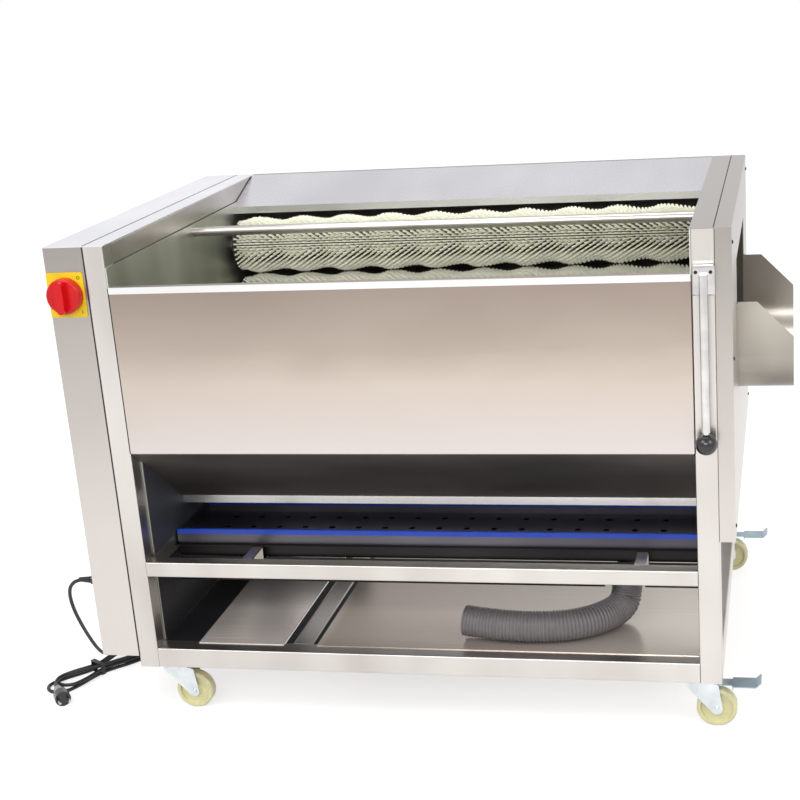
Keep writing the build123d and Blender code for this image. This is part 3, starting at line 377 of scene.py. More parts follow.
def finish_nodes():
    """Gives every solid of the frame its finish; their meshes stay as they are."""
    for name, finish in NODE_FINISH.items():
        node = NODES[name]
        node.data.materials.clear()
        node.data.materials.append(FINISHES[finish])


# ---------------------------------------------------------------- camera, light and floor
def make_camera():
    """The viewpoint: to the right of centre, above, turned and rolled a little to the left."""
    focal_px, image_px, sensor_mm = 1541.5, 800.0, 36.0
    pitch, yaw, roll = math.radians(17.53), math.radians(-12.61), math.radians(-4.01)
    stand = Vector((0.7175, -2.9932, 1.4247))
    forward = Vector((math.sin(yaw) * math.cos(pitch), math.cos(yaw) * math.cos(pitch), -math.sin(pitch)))
    level = Vector((math.cos(yaw), -math.sin(yaw), 0.0))
    above = level.cross(forward)
    right = math.cos(roll) * level + math.sin(roll) * above
    up = -math.sin(roll) * level + math.cos(roll) * above
    middle = Vector(((LEFT + RIGHT) / 2, (FRONT + BACK) / 2, 0.0))
    data = bpy.data.cameras.new("camera")
    data.sensor_width = sensor_mm
    data.lens = focal_px * sensor_mm / image_px
    data.shift_x, data.shift_y = -0.08, 0.04
    data.clip_end = 50.0
    camera = bpy.data.objects.new("camera", data)
    bpy.context.scene.collection.objects.link(camera)
    turn = Matrix((right, up, -forward)).transposed().to_4x4()
    camera.matrix_world = Matrix.Translation(middle + stand) @ turn
    bpy.context.scene.camera = camera


def make_light(name, place, target, size, power):
    """A white panel lamp of a size in metres and a power in watts, aimed at its target."""
    data = bpy.data.lights.new(name, "AREA")
    data.shape = "RECTANGLE"
    data.size, data.size_y = size
    data.energy = power
    lamp = bpy.data.objects.new(name, data)
    bpy.context.scene.collection.objects.link(lamp)
    lamp.location = place
    lamp.rotation_euler = (Vector(target) - Vector(place)).to_track_quat("-Z", "Y").to_euler()


def make_studio():
    """Soft light from above and the front, in a white room that mirrors darker above eye level."""
    bpy.context.scene.view_settings.view_transform = "Standard"
    make_light("key", (-1.6, -2.4, 3.2), (0, 0, 0.5), (2.2, 1.6), 42)
    make_light("fill", (2.6, -1.8, 2.4), (0.2, 0, 0.5), (1.6, 1.6), 26)
    make_light("front", (0.2, -3.6, 2.1), (0, 0, 0.6), (2.0, 0.9), 40)
    make_light("top", (0.1, 0.1, 3.3), (0.1, 0.1, 0.6), (2.2, 1.0), 24)
    world = bpy.data.worlds.new("room")
    bpy.context.scene.world = world
    world.use_nodes = True
    tree = world.node_tree
    tree.nodes.clear()
    direction = add(tree, "ShaderNodeTexCoord").outputs["Generated"]
    height = add(tree, "ShaderNodeSeparateXYZ", (direction,)).outputs["Z"]
    level = add(tree, "ShaderNodeMapRange", {"Value": height, "From Min": -1.0, "From Max": 1.0})
    tones = ((0.0, "FFFFFF"), (0.64, "FFFFFF"), (0.74, "F8F8F8"), (0.86, "DCDAD8"), (1.0, "ECECEC"))
    walls = [(share, linear(tone)) for share, tone in tones]
    backdrop = add(tree, "ShaderNodeValToRGB", (level,), stops=walls)
    lit = add(tree, "ShaderNodeBackground", {"Color": linear("FFFFFF"), "Strength": 0.85})
    shown = add(tree, "ShaderNodeBackground", {"Color": backdrop, "Strength": 1.0})
    mixed = add(tree, "ShaderNodeMixShader", (seen_directly(tree), lit, shown))
    add(tree, "ShaderNodeOutputWorld", {"Surface": mixed})


def make_floor():
    """A pale floor that runs out to white and keeps the machine's shadow."""
    reach = 14.0
    shape = bmesh.new()
    bmesh.ops.create_grid(shape, x_segments=1, y_segments=1, size=reach)
    mesh = bpy.data.meshes.new("floor")
    shape.to_mesh(mesh)
    shape.free()
    floor = bpy.data.objects.new("floor", mesh)
    bpy.context.scene.collection.objects.link(floor)
    made, tree, place = start_material("studio_floor")
    grain = cells(tree, place, (4.0, 4.0, 4.0), detail=3.0)
    greys = [(0.2, linear("B6B6B6")), (0.8, linear("C0C0C0"))]
    inputs = {
        "Base Color": add(tree, "ShaderNodeValToRGB", (grain,), stops=greys),
        "Roughness": 0.9,
        "Emission Color": linear("FFFFFF"),
        "Emission Strength": add(tree, "ShaderNodeMath", (seen_directly(tree), 0.62), operation="MULTIPLY"),
    }
    mesh.materials.append(end_material(made, inputs))


# ---------------------------------------------------------------- mesh helpers
def object_from(mesh, name, body, finish=None):
    """A piece of the scene that moves with its body; a grown mesh already has its finish."""
    made = bpy.data.objects.new(name, mesh)
    bpy.context.scene.collection.objects.link(made)
    if finish:
        mesh.materials.append(FINISHES[finish])
    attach(made, body)
    return made


def mesh_from_bmesh(shape, name, smooth=False):
    """The finished mesh of a shape, its faces turned outwards."""
    mesh = bpy.data.meshes.new(name)
    bmesh.ops.recalc_face_normals(shape, faces=shape.faces)
    shape.to_mesh(mesh)
    shape.free()
    for polygon in mesh.polygons:
        polygon.use_smooth = smooth
    return mesh


def lathe(profile, centre, axis="X", steps=48):
    """A closed outline of (place along the axis, radius) points turned about the axis."""
    first = "XYZ".index(axis)
    shape = bmesh.new()
    rings = []
    for step in range(steps):
        turn = 2 * math.pi * step / steps
        ring = []
        for along, radius in profile:
            point = Vector(centre)
            point[first] += along
            point[(first + 1) % 3] += radius * math.cos(turn)
            point[(first + 2) % 3] += radius * math.sin(turn)
            ring.append(shape.verts.new(point))
        rings.append(ring)
    for near, far in zip(rings, rings[1:] + rings[:1]):
        for index in range(len(profile)):
            after = (index + 1) % len(profile)
            shape.faces.new((near[index], near[after], far[after], far[index]))
    return shape


def blocks(name, corners, body, finish):
    """One piece made of boxes, each given by its low and its high corner."""
    shape = bmesh.new()
    for low, high in corners:
        size = Vector(high) - Vector(low)
        place = Matrix.Translation((Vector(low) + Vector(high)) / 2) @ Matrix.Diagonal((*size, 1.0))
        bmesh.ops.create_cube(shape, size=1.0, matrix=place)
    return object_from(mesh_from_bmesh(shape, name), name, body, finish)


# ---------------------------------------------------------------- cords
def nurbs(name, points, radius):
    """A round curve through a given route, its ends on the first and last points."""
    data = bpy.data.curves.new(name, "CURVE")
    data.dimensions = "3D"
    data.bevel_depth = radius
    data.bevel_resolution = 4
    data.resolution_u = 8
    data.use_fill_caps = True
    spline = data.splines.new("NURBS")
    spline.points.add(len(points) - 1)
    for target, point in zip(spline.points, points):
        target.co = (*point, 1.0)
    spline.order_u = 3
    spline.use_endpoint_u = True
    made = bpy.data.objects.new(name, data)
    bpy.context.scene.collection.objects.link(made)
    return made


def spline_path(points):
    """The points along the smooth line of a route, read from its spline."""
    curve = nurbs("route", points, 0.0)
    curve.data.bevel_resolution = 0
    evaluated = curve.evaluated_get(bpy.context.evaluated_depsgraph_get())
    mesh = bpy.data.meshes.new_from_object(evaluated)
    path = [vertex.co.copy() for vertex in mesh.vertices]
    bpy.data.objects.remove(curve)
    return path


def walk(path, step):
    """Places and directions at even steps along a path."""
    found = [(path[0].copy(), (path[1] - path[0]).normalized())]
    left_over = step
    for near, far in zip(path, path[1:]):
        run = (far - near).length
        while left_over <= run:
            found.append((near.lerp(far, left_over / run), (far - near).normalized()))
            left_over += step
        left_over -= run
    return found


def tube_mesh(name, stations, radii, inner, segments=28):
    """An open-ended tube with a wall: its outside follows the radii, its bore is plain."""
    shape = bmesh.new()
    side = stations[0][1].orthogonal().normalized()
    outer_rings, inner_rings = [], []
    for (place, direction), radius in zip(stations, radii):
        side = (side - direction * side.dot(direction)).normalized()
        other = direction.cross(side)
        for rings, size in ((outer_rings, radius), (inner_rings, inner)):
            ring = []
            for index in range(segments):
                turn = 2 * math.pi * index / segments
                offset = side * math.cos(turn) + other * math.sin(turn)
                ring.append(shape.verts.new(place + offset * size))
            rings.append(ring)
    closed = outer_rings + inner_rings[::-1]
    for near, far in zip(closed, closed[1:] + closed[:1]):
        for index in range(segments):
            after = (index + 1) % segments
            shape.faces.new((near[index], near[after], far[after], far[index]))
    return mesh_from_bmesh(shape, name, smooth=True)


def path_length(path):
    """The length of a line through points."""
    return sum((far - near).length for near, far in zip(path, path[1:]))


# ---------------------------------------------------------------- Geometry Nodes
def start_tree(name, sizes):
    """A Geometry Nodes tree and its inputs: its own geometry, named sizes and the finish."""
    tree = bpy.data.node_groups.new(name, "GeometryNodeTree")
    tree.interface.new_socket("Geometry", in_out="OUTPUT", socket_type="NodeSocketGeometry")
    tree.interface.new_socket("Geometry", in_out="INPUT", socket_type="NodeSocketGeometry")
    for size, value in sizes.items():
        kind = "NodeSocketVector" if isinstance(value, tuple) else "NodeSocketFloat"
        tree.interface.new_socket(size, in_out="INPUT", socket_type=kind).default_value = value
    tree.interface.new_socket("Finish", in_out="INPUT", socket_type="NodeSocketMaterial")
    return tree, add(tree, "NodeGroupInput").outputs


def end_tree(tree, instances, finish):
    """Turns the instances into a plain mesh with its material."""
    real = add(tree, "GeometryNodeRealizeInstances", {"Geometry": instances})
    dressed = add(tree, "GeometryNodeSetMaterial", {"Geometry": real, "Material": finish})
    add(tree, "NodeGroupOutput", {"Geometry": dressed})
    return tree


def grown(tree, name, inputs, finish, body, points=()):
    """The plain mesh that a tree makes, from given points or from nothing, riding on its body."""
    seed = bpy.data.meshes.new(name + "_seed")
    seed.from_pydata(points, [], [])
    holder = bpy.data.objects.new(name + "_seed", seed)
    bpy.context.scene.collection.objects.link(holder)
    modifier = holder.modifiers.new("grow", "NODES")
    modifier.node_group = tree
    sockets = [item for item in tree.interface.items_tree if item.in_out == "INPUT"]
    identifiers = {item.name: item.identifier for item in sockets}
    for size, value in inputs.items():
        modifier[identifiers[size]] = value
    modifier[identifiers["Finish"]] = FINISHES[finish]
    evaluated = holder.evaluated_get(bpy.context.evaluated_depsgraph_get())
    mesh = bpy.data.meshes.new_from_object(evaluated)
    mesh.name = name
    bpy.data.objects.remove(holder)
    return object_from(mesh, name, body)


# ---------------------------------------------------------------- brush rollers
BRISTLE_SIZES = {
    "Start": 0.0,
    "Length": 1.0,
    "Axis Y": 0.0,
    "Axis Z": 0.0,
    "Core Radius": 36.0 * MM,
    "Trough Radius": 54.0 * MM,
    "Crest Radius": 62.0 * MM,
    "Lean": math.radians(41),
    "Stagger": 7.5 * MM,
    "Tuft Radius": 1.4 * MM,
    "Strand Radius": 0.7 * MM,
}
ROW_PITCH = 2 * BRISTLE_SIZES["Stagger"]
WAVES = 10
TUFTS_ROUND = 56
STRANDS = 6
SHAFT_RADIUS = 12.5 * MM
END_RING_RISE, END_RING_WIDTH = 3.0 * MM, 6.0 * MM


def bristle_tree(tufts_along):
    """Staggered rows of leaning tufts whose tips follow a row of waves along the roller.

    A field is read where it is used: the position is a tuft's place in the rows, and in the tuft's
    own mesh it is a place on a strand.
    """
    tree, given = start_tree("bristle_rows", BRISTLE_SIZES)
    calculate = "ShaderNodeMath"
    position = add(tree, "GeometryNodeInputPosition")
    place = add(tree, "ShaderNodeSeparateXYZ", (position,)).outputs

    # Where each tuft stands: along the roller, and which row round it
    rows_and_tufts = {"Size X": 1.0, "Size Y": 1.0, "Vertices X": tufts_along, "Vertices Y": TUFTS_ROUND}
    grid = add(tree, "GeometryNodeMeshGrid", rows_and_tufts)
    along = add(tree, calculate, (place["X"], 0.5), operation="ADD")
    last_row = TUFTS_ROUND - 1.0
    counted = add(tree, calculate, (place["Y"], last_row, last_row / 2), operation="MULTIPLY_ADD")
    row = add(tree, calculate, (counted,), operation="ROUND")
    turn = add(tree, calculate, (row, 2 * math.pi / TUFTS_ROUND), operation="MULTIPLY")
    odd = add(tree, calculate, (row, 2.0), operation="MODULO")
    shift = add(tree, calculate, (odd, given["Stagger"]), operation="MULTIPLY")
    out_y = add(tree, calculate, (turn,), operation="COSINE")
    out_z = add(tree, calculate, (turn,), operation="SINE")
    even_x = add(tree, calculate, (along, given["Length"], given["Start"]), operation="MULTIPLY_ADD")
    root_x = add(tree, calculate, (even_x, shift), operation="ADD")
    root_y = add(tree, calculate, (out_y, given["Core Radius"], given["Axis Y"]), operation="MULTIPLY_ADD")
    root_z = add(tree, calculate, (out_z, given["Core Radius"], given["Axis Z"]), operation="MULTIPLY_ADD")
    root = add(tree, "ShaderNodeCombineXYZ", (root_x, root_y, root_z))

    # Which way it leans, and how long it is so that its tip lies on the waves
    reach = add(tree, calculate, (given["Lean"],), operation="TANGENT")
    back = add(tree, calculate, (reach, -1.0), operation="MULTIPLY")
    outward = add(tree, "ShaderNodeCombineXYZ", (back, out_y, out_z))
    shift_share = add(tree, calculate, (shift, given["Length"]), operation="DIVIDE")
    share = add(tree, calculate, (shift_share, along), operation="ADD")
    angle = add(tree, calculate, (share, 2 * math.pi * WAVES), operation="MULTIPLY")
    phase = add(tree, calculate, (angle,), operation="COSINE")
    swell = add(tree, calculate, (phase, -0.5, 0.5), operation="MULTIPLY_ADD")
    depth = add(tree, calculate, (given["Crest Radius"], given["Trough Radius"]), operation="SUBTRACT")
    tip = add(tree, calculate, (swell, depth, given["Trough Radius"]), operation="MULTIPLY_ADD")
    rise = add(tree, calculate, (tip, given["Core Radius"]), operation="SUBTRACT")
    upright_share = add(tree, calculate, (given["Lean"],), operation="COSINE")
    length = add(tree, calculate, (rise, upright_share), operation="DIVIDE")
    uneven = add(
        tree, "FunctionNodeRandomValue", {"Min": 0.94, "Max": 1.0, "Seed": 11}, data_type="FLOAT"
    ).outputs[1]
    tall = add(tree, calculate, (length, uneven), operation="MULTIPLY")

    # One tuft: a ring of strands that draws together at its root, with each strand's height kept
    tip_radius = add(tree, calculate, (given["Strand Radius"], 0.85), operation="MULTIPLY")
    strand_sizes = {"Vertices": 4, "Depth": 1.0, "Radius Top": tip_radius}
    strand_sizes["Radius Bottom"] = given["Strand Radius"]
    strand = add(tree, "GeometryNodeMeshCone", strand_sizes, fill_type="NONE")
    circle = add(tree, "GeometryNodeMeshCircle", {"Vertices": STRANDS, "Radius": given["Tuft Radius"]})
    ring = add(tree, "GeometryNodeInstanceOnPoints", {"Points": circle, "Instance": strand})
    tuft = add(tree, "GeometryNodeRealizeInstances", {"Geometry": ring})
    kept = {"Geometry": tuft, "Name": HEIGHT_NAME, "Value": place["Z"]}
    measured = add(tree, "GeometryNodeStoreNamedAttribute", kept, data_type="FLOAT", domain="POINT")
    is_root = add(
        tree, "FunctionNodeCompare", (place["Z"], 0.5), data_type="FLOAT", operation="LESS_THAN"
    )
    drawn_in = add(tree, "ShaderNodeVectorMath", (position, (0.4, 0.4, 1.0)), operation="MULTIPLY")
    spread = add(
        tree, "GeometryNodeSetPosition", {"Geometry": measured, "Selection": is_root, "Position": drawn_in}
    )

    # A tuft on every point of the rows, turned and stretched, then carried to its root
    aim = add(tree, "FunctionNodeAlignRotationToVector", {"Vector": outward}, axis="Z")
    size = add(tree, "ShaderNodeCombineXYZ", (1.0, 1.0, tall))
    set_out = {"Points": grid, "Instance": spread, "Rotation": aim, "Scale": size}
    rows = add(tree, "GeometryNodeInstanceOnPoints", set_out)
    placed = add(tree, "GeometryNodeSetPosition", {"Geometry": rows, "Position": root})
    return end_tree(tree, placed, given["Finish"])


def make_brushes():
    """Each roller: a core tube with end rings, dark with painted shade for the gaps between tufts, and its
    rows of bristles.
    """
    core, crest = BRISTLE_SIZES["Core Radius"], BRISTLE_SIZES["Crest Radius"]
    low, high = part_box("brush_1")
    root_start = low.x + (crest - core) * math.tan(BRISTLE_SIZES["Lean"]) + 2.0 * MM
    length = high.x - ROW_PITCH / 2 - 3.0 * MM - root_start
    tree = bristle_tree(int(length / ROW_PITCH) + 1)
    for number in range(1, 7):
        low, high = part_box(f"brush_{number}")
        axis_y, axis_z = (low.y + high.y) / 2, (low.z + high.z) / 2
        body, name = f"roller_{number}", f"roller_core_painted_shade_{number}"
        profile = [
            (low.x, SHAFT_RADIUS),
            (low.x, core + END_RING_RISE),
            (low.x + END_RING_WIDTH, core + END_RING_RISE),
            (low.x + END_RING_WIDTH, core),
            (high.x - END_RING_WIDTH, core),
            (high.x - END_RING_WIDTH, core + END_RING_RISE),
            (high.x, core + END_RING_RISE),
            (high.x, SHAFT_RADIUS),
        ]
        mesh = mesh_from_bmesh(lathe(profile, (0.0, axis_y, axis_z)), name, smooth=True)
        mesh.set_sharp_from_angle(angle=math.radians(35.0))
        object_from(mesh, name, body, "core")
        inputs = {**BRISTLE_SIZES, "Start": root_start, "Length": length, "Axis Y": axis_y, "Axis Z": axis_z}
        bristles = grown(tree, f"bristles_{number}", inputs, "bristle", body)
        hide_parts(f"brush_{number}")


# ---------------------------------------------------------------- mains lead, hank and plug
LEAD_DIAMETER = 7.5 * MM
FOLD_RADIUS = 30.0 * MM
WAIST = 14.0 * MM
LAYER = 7.6 * MM
FOLD_SHORTENING = 22.0 * MM
FOLD_POINTS = 6
FIRST_TURN, FOLD_TURN = 66, 78
HANK_FAR = Vector((-0.716, -0.150, 0.0))
HANK_NEAR = Vector((-0.8120, -0.300, 0.0))
PLUG_TAIL = Vector((-0.803, -0.336, 0.016))
PLUG_NOSE = Vector((-0.772, -0.378, 0.016))
PLUG_RELIEF = 16.0 * MM
BEND_RADIUS = 34.0 * MM
BEND_TURN = math.radians(89)
LEAD_BORE = LEAD_DIAMETER / 2 - 0.2 * MM


def lead_route():
    """Out of the gland, down under its own weight and back along the floor to the hank."""
    gland_low, gland_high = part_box("cable_gland")
    x = gland_low.x
    y = (gland_low.y + gland_high.y) / 2
    z = (gland_low.z + gland_high.z) / 2
    offsets = [
        (0, 0, 0),
        (-25, 0, 0),
        (-46, 4, -13),
        (-57, 12, -36),
        (-62, 28, -75),
        (-66, 57, -122),
        (-72, 92, -167),
        (-80, 130, -208),
        (-88, 164, -238),
        (-93, 194, -260),
        (-88, 220, -268),
        (-68, 236, -269.5),
    ]
    return [Vector((x, y, z)) + Vector(offset) * MM for offset in offsets]


def hank_point(along, across, height):
    """A point of the hank: along from its far fold to its near one, across towards the machine."""
    direction = (HANK_NEAR - HANK_FAR).normalized()
    side = Vector((-direction.y, direction.x, 0.0))
    return HANK_FAR + direction * along + side * across + Vector((0, 0, height))


def hank_height(layer):
    """The height of the lead's middle in one of the hank's three layers."""
    return LEAD_DIAMETER / 2 + 0.2 * MM + LAYER * layer


def hank_fold(centre, start, end, height, away):
    """A half turn round one end of the hank; away is -1 at the far end and 1 at the near one."""
    points = []
    for step in range(FOLD_POINTS):
        turn = math.radians(start + (end - start) * step / (FOLD_POINTS - 1))
        along = centre + away * FOLD_RADIUS * math.cos(turn)
        points.append(hank_point(along, FOLD_RADIUS * math.sin(turn), height))
    return points


def hank_run(shares, start, end, side, low, high):
    """A run between the folds, drawn in at the tie, that climbs from low to high past it."""
    points = []
    for share in shares:
        swell = 0.5 + 0.5 * math.cos(2 * math.pi * share)
        across = side * (WAIST + (FOLD_RADIUS - WAIST) * swell)
        climb = min(max((share - 0.5) / 0.4, 0.0), 1.0)
        points.append(hank_point(start + (end - start) * share, across, low + (high - low) * climb))
    return points


def hank_route():
    """Two and a half turns of the spare lead, one layer on the other."""
    length = (HANK_NEAR - HANK_FAR).length
    shares = (0.17, 0.33, 0.5, 0.67, 0.83)
    points = hank_fold(0.0, -FIRST_TURN, FOLD_TURN, hank_height(0), -1)
    for layer in range(2):
        near = length - FOLD_SHORTENING * layer
        low, high = hank_height(layer), hank_height(layer + 1)
        points += hank_run(shares, 0.0, near, 1, low, low)
        points += hank_fold(near, FOLD_TURN, -FOLD_TURN, low, 1)
        points += hank_run(shares, near, 0.0, -1, low, high)
        points += hank_fold(0.0, -FOLD_TURN, FOLD_TURN, high, -1)
    points += hank_run(shares[:3], 0.0, length, 1, hank_height(2), hank_height(2))
    return points


def plug_bend(tail, forward):
    """The bend over the near folds that brings the lead in line with the plug."""
    left = Vector((-forward.y, forward.x, 0.0))
    centre = tail - forward * 2.0 * MM + left * BEND_RADIUS
    rises = (3.2, 3.6, 3.4, 1.2)
    step = BEND_TURN / len(rises)
    reach = BEND_RADIUS / math.cos(step / 2)
    points = []
    for index, rise in enumerate(rises):
        turn = BEND_TURN - step * (index + 0.5)
        flat = left * math.cos(turn) + forward * math.sin(turn)
        points.append(centre - flat * reach + Vector((0, 0, rise * MM)))
    return points


def make_lead():
    """The lead from gland to plug as one smooth line, with its tie and the plug's bright pins."""
    forward = (PLUG_NOSE - PLUG_TAIL).normalized()
    tail = PLUG_TAIL - forward * PLUG_RELIEF
    length = (HANK_NEAR - HANK_FAR).length
    top = hank_height(2)
    crossing = [hank_point(length * 0.66, 4.0 * MM, top), hank_point(length * 0.82, -6.8 * MM, top)]
    route = lead_route() + hank_route() + crossing + plug_bend(tail, forward) + [tail]
    lead = nurbs("mains_lead", route, LEAD_DIAMETER / 2)
    lead.data.materials.append(FINISHES["rubber"])
    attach(lead, "chassis")
    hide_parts("power_cord", "cord_hank")
    tie = make_tie(length)
    pins = make_plug_pins(forward)
    relief = make_taper("plug_relief", tail - forward * 8.0 * MM, PLUG_TAIL, 4.6 * MM, 7.5 * MM)
    gland_end = route[0] - Vector((24.0 * MM, 0, 0))
    gland_relief = make_taper("gland_relief", gland_end, route[0], 4.4 * MM, 6.8 * MM)
    round(path_length(spline_path(route)), 2)


def make_taper(name, thin_end, thick_end, thin, thick):
    """A ribbed strain relief that grows from the lead to what it leaves."""
    steps, grooved_steps, groove_depth = 24, 20, 0.55 * MM
    stations = walk([thin_end, thick_end], (thick_end - thin_end).length / (steps + 0.01))
    radii = []
    for step in range(len(stations)):
        share = step / (len(stations) - 1)
        groove = groove_depth if step % 4 == 2 and step < grooved_steps else 0.0
        radii.append(thin + (thick - thin) * share - groove * share)
    mesh = tube_mesh(name, stations, radii, LEAD_BORE, segments=24)
    return object_from(mesh, name, "chassis", "rubber")


def make_tie(length):
    """A black band round the hank's waist."""
    half, low, high, wall = WAIST + 5.2 * MM, 0.2 * MM, 3 * LAYER + 1.6 * MM, 1.4 * MM
    start, end = length / 2 - 5 * MM, length / 2 + 5 * MM
    outside = [(-half, low), (half, low), (half, high), (-half, high)]
    inner, inner_low, inner_high = half - wall, low + wall / 4, high - wall
    inside = [(-inner, inner_low), (inner, inner_low), (inner, inner_high), (-inner, inner_high)]
    shape = bmesh.new()
    loops = []
    for along, outline in ((start, outside), (end, outside), (end, inside), (start, inside)):
        loops.append([shape.verts.new(hank_point(along, across, z)) for across, z in outline])
    for near, far in zip(loops, loops[1:] + loops[:1]):
        for index in range(4):
            after = (index + 1) % 4
            shape.faces.new((near[index], near[after], far[after], far[index]))
    return object_from(mesh_from_bmesh(shape, "hank_tie"), "hank_tie", "chassis", "rubber")


def make_plug_pins(forward):
    """Bright sleeves over the plug's two pins."""
    pin_spacing, pin_middle, pin_length = 19.0 * MM, 13.0 * MM, 12.4 * MM
    shape = bmesh.new()
    side = Vector((-forward.y, forward.x, 0.0)) * pin_spacing / 2
    turn = forward.to_track_quat("Z", "Y").to_matrix().to_4x4()
    for sign in (-1, 1):
        middle = PLUG_NOSE + forward * pin_middle + side * sign
        bmesh.ops.create_cone(
            shape,
            cap_ends=True,
            segments=20,
            radius1=2.55 * MM,
            radius2=2.45 * MM,
            depth=pin_length,
            matrix=Matrix.Translation(middle) @ turn,
        )
    mesh = mesh_from_bmesh(shape, "plug_pins")
    return object_from(mesh, "plug_pins", "chassis", "bright_screw")


# ---------------------------------------------------------------- drain hose
HOSE_DIAMETER = 60.0 * MM
HOSE_BORE = 25.5 * MM
RIB_PITCH = 6.5 * MM
RIB_STEPS = 6
RIB_DEPTH = 2.2 * MM
RIB_SHARPNESS = 1.6


def hose_route():
    """Down from the drain spigot, round, and forward along the floor plates."""
    hose_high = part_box("drain_hose")[1]
    x = hose_high.x - HOSE_DIAMETER / 2
    y = hose_high.y - HOSE_DIAMETER / 2
    top = pan_low.z + 14.0 * MM
    floor = floor_plate_high.z + HOSE_DIAMETER / 2
    return [
        Vector((x, y, top)),
        Vector((x, y, top - 33 * MM)),
        Vector((x - 11 * MM, y - 23 * MM, floor)),
        Vector((x - 55 * MM, y - 80 * MM, floor)),
        Vector((x - 110 * MM, y - 108 * MM, floor)),
        Vector((x - 185 * MM, y - 116 * MM, floor)),
        Vector((x - 250 * MM, y - 110 * MM, floor + 1 * MM)),
        Vector((x - 303 * MM, y - 103 * MM, floor + 5 * MM)),
    ]


def make_hose():
    """A corrugated drain hose: even ribs round a plain bore."""
    route = hose_route()
    path = spline_path(route)
    stations = walk(path, RIB_PITCH / RIB_STEPS)
    radii = []
    for step in range(len(stations)):
        wave = 0.5 + 0.5 * math.cos(2 * math.pi * step / RIB_STEPS)
        radii.append(HOSE_DIAMETER / 2 - RIB_DEPTH * (1 - wave) ** RIB_SHARPNESS)
    mesh = tube_mesh("corrugated_hose", stations, radii, HOSE_BORE)
    hose = object_from(mesh, "corrugated_hose", "chassis", "hose")
    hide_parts("drain_hose")


# ---------------------------------------------------------------- small details
BOX_DEPTH = 77.0 * MM
TUBE = 40.0 * MM
POST_LEFT = LEFT + BOX_DEPTH
POST_RIGHT = RIGHT - 68.0 * MM
COVER_FOLD = 30.0 * MM
MID_RAIL_TOP = BASE + 224.0 * MM
SHEET_LEFT = WALL_LEFT + 2.0 * MM
SKIN = 0.3 * MM


def make_seams():
    """Dark joints between the drive box, the posts, the front panel and the covers."""
    half = 0.9 * MM
    corners = []
    for x, low_z, high_z in (
        (POST_LEFT, box_low.z, TOP),
        (WALL_LEFT, panel_low.z, panel_high.z),
        (POST_RIGHT, panel_low.z, panel_high.z),
    ):
        corners.append(((x - half, FRONT - SKIN, low_z), (x + half, FRONT + SKIN, high_z - 2 * MM)))
    for x in (POST_LEFT, RIGHT - COVER_FOLD):
        corners.append(((x - half, FRONT + 3 * MM, TOP - SKIN), (x + half, BACK - 3 * MM, TOP + SKIN)))
    blocks("joint_lines", corners, "chassis", "gap")


def make_wall_shade_sheets():
    """Dark sheets of painted shade that line the drive side of the two lower bays."""
    thick, clear = 1.2 * MM, TUBE + 2 * MM
    for name, low_z, high_z, finish in (
        ("upper_bay_shade_sheet", MID_RAIL_TOP, panel_low.z - 4 * MM, "shade_sheet_upper"),
        ("lower_bay_shade_sheet", BASE + clear, BASE + 190 * MM, "shade_sheet_lower"),
    ):
        low = (SHEET_LEFT, FRONT + clear, low_z)
        high = (SHEET_LEFT + thick, BACK - clear, high_z)
        blocks(name, [(low, high)], "chassis", finish)


def make_gap_shade_strips():
    """Dark strips of painted shade in the gaps of the floor, beside the plates and the cross rail."""
    z, edge = floor_plate_low.z, 1 * MM
    corners = []
    for start, end in (
        (WALL_LEFT, PLATE_1_START),
        (PLATE_1_END, CROSS_RAIL - TUBE / 2),
        (CROSS_RAIL + TUBE / 2, PLATE_2_START),
    ):
        low = (start + edge, FRONT + TUBE + edge, z - 3 * MM)
        corners.append((low, (end - edge, BACK - TUBE - edge, z - 1 * MM)))
    blocks("floor_gap_shade_strips", corners, "chassis", "shade_sheet_lower")


def make_tray_film():
    """Blue protective film left on the tray's upper edges."""
    low, high = tray_low, tray_high
    corners = [
        ((low.x, low.y - SKIN, high.z - 10 * MM), (high.x, low.y, high.z + SKIN)),
        ((low.x, low.y - SKIN, high.z), (high.x, low.y + 4 * MM, high.z + SKIN)),
        ((low.x, high.y - 5 * MM, high.z), (high.x, high.y + SKIN, high.z + SKIN)),
        ((low.x + 2 * MM, high.y - 5.4 * MM, high.z - 14 * MM), (high.x - 2 * MM, high.y - 5 * MM, high.z)),
    ]
    blocks("tray_film", corners, "tray", "film")


def make_rim_highlights():
    """Painted highlights: bright strips along the front panel's rolled top edge and the rear guide's lip."""
    rim_drop, lip_top = 12 * MM, 900 * MM
    rim_low = (panel_low.x + 1 * MM, FRONT - 0.8 * MM, panel_high.z - rim_drop)
    rim_high = (POST_RIGHT - 1 * MM, FRONT, panel_high.z + SKIN)
    lip_low = (guide_low.x + 1 * MM, guide_low.y - SKIN, guide_low.z + 1 * MM)
    lip_high = (guide_high.x - 1 * MM, guide_low.y, lip_top)
    corners = [(rim_low, rim_high), (lip_low, lip_high)]
    blocks("painted_rim_highlights", corners, "chassis", "bright")


def make_pan_shade_apron():
    """A dark sheet of painted shade on the lower part of the pan's front wall, open where its brackets and
    spigot pass.
    """
    y, hem, drop, drop_at_hose = pan_low.y + 12 * MM, 29 * MM, 80 * MM, 72 * MM
    bracket_1_start, bracket_1_end = LEFT + 273 * MM, LEFT + 295 * MM
    hose_start, bracket_2_start, bracket_2_end = LEFT + 985 * MM, LEFT + 1040 * MM, LEFT + 1062 * MM
    corners = []
    for start, end, fall in (
        (pan_low.x + 2 * MM, bracket_1_start, drop),
        (bracket_1_end, hose_start, drop),
        (hose_start, bracket_2_start, drop_at_hose),
        (bracket_2_end, pan_high.x - 2 * MM, drop),
    ):
        corners.append(((start, y, pan_high.z - fall), (end, y + 1 * MM, pan_high.z - hem)))
    blocks("pan_shade_apron", corners, "chassis", "pan")


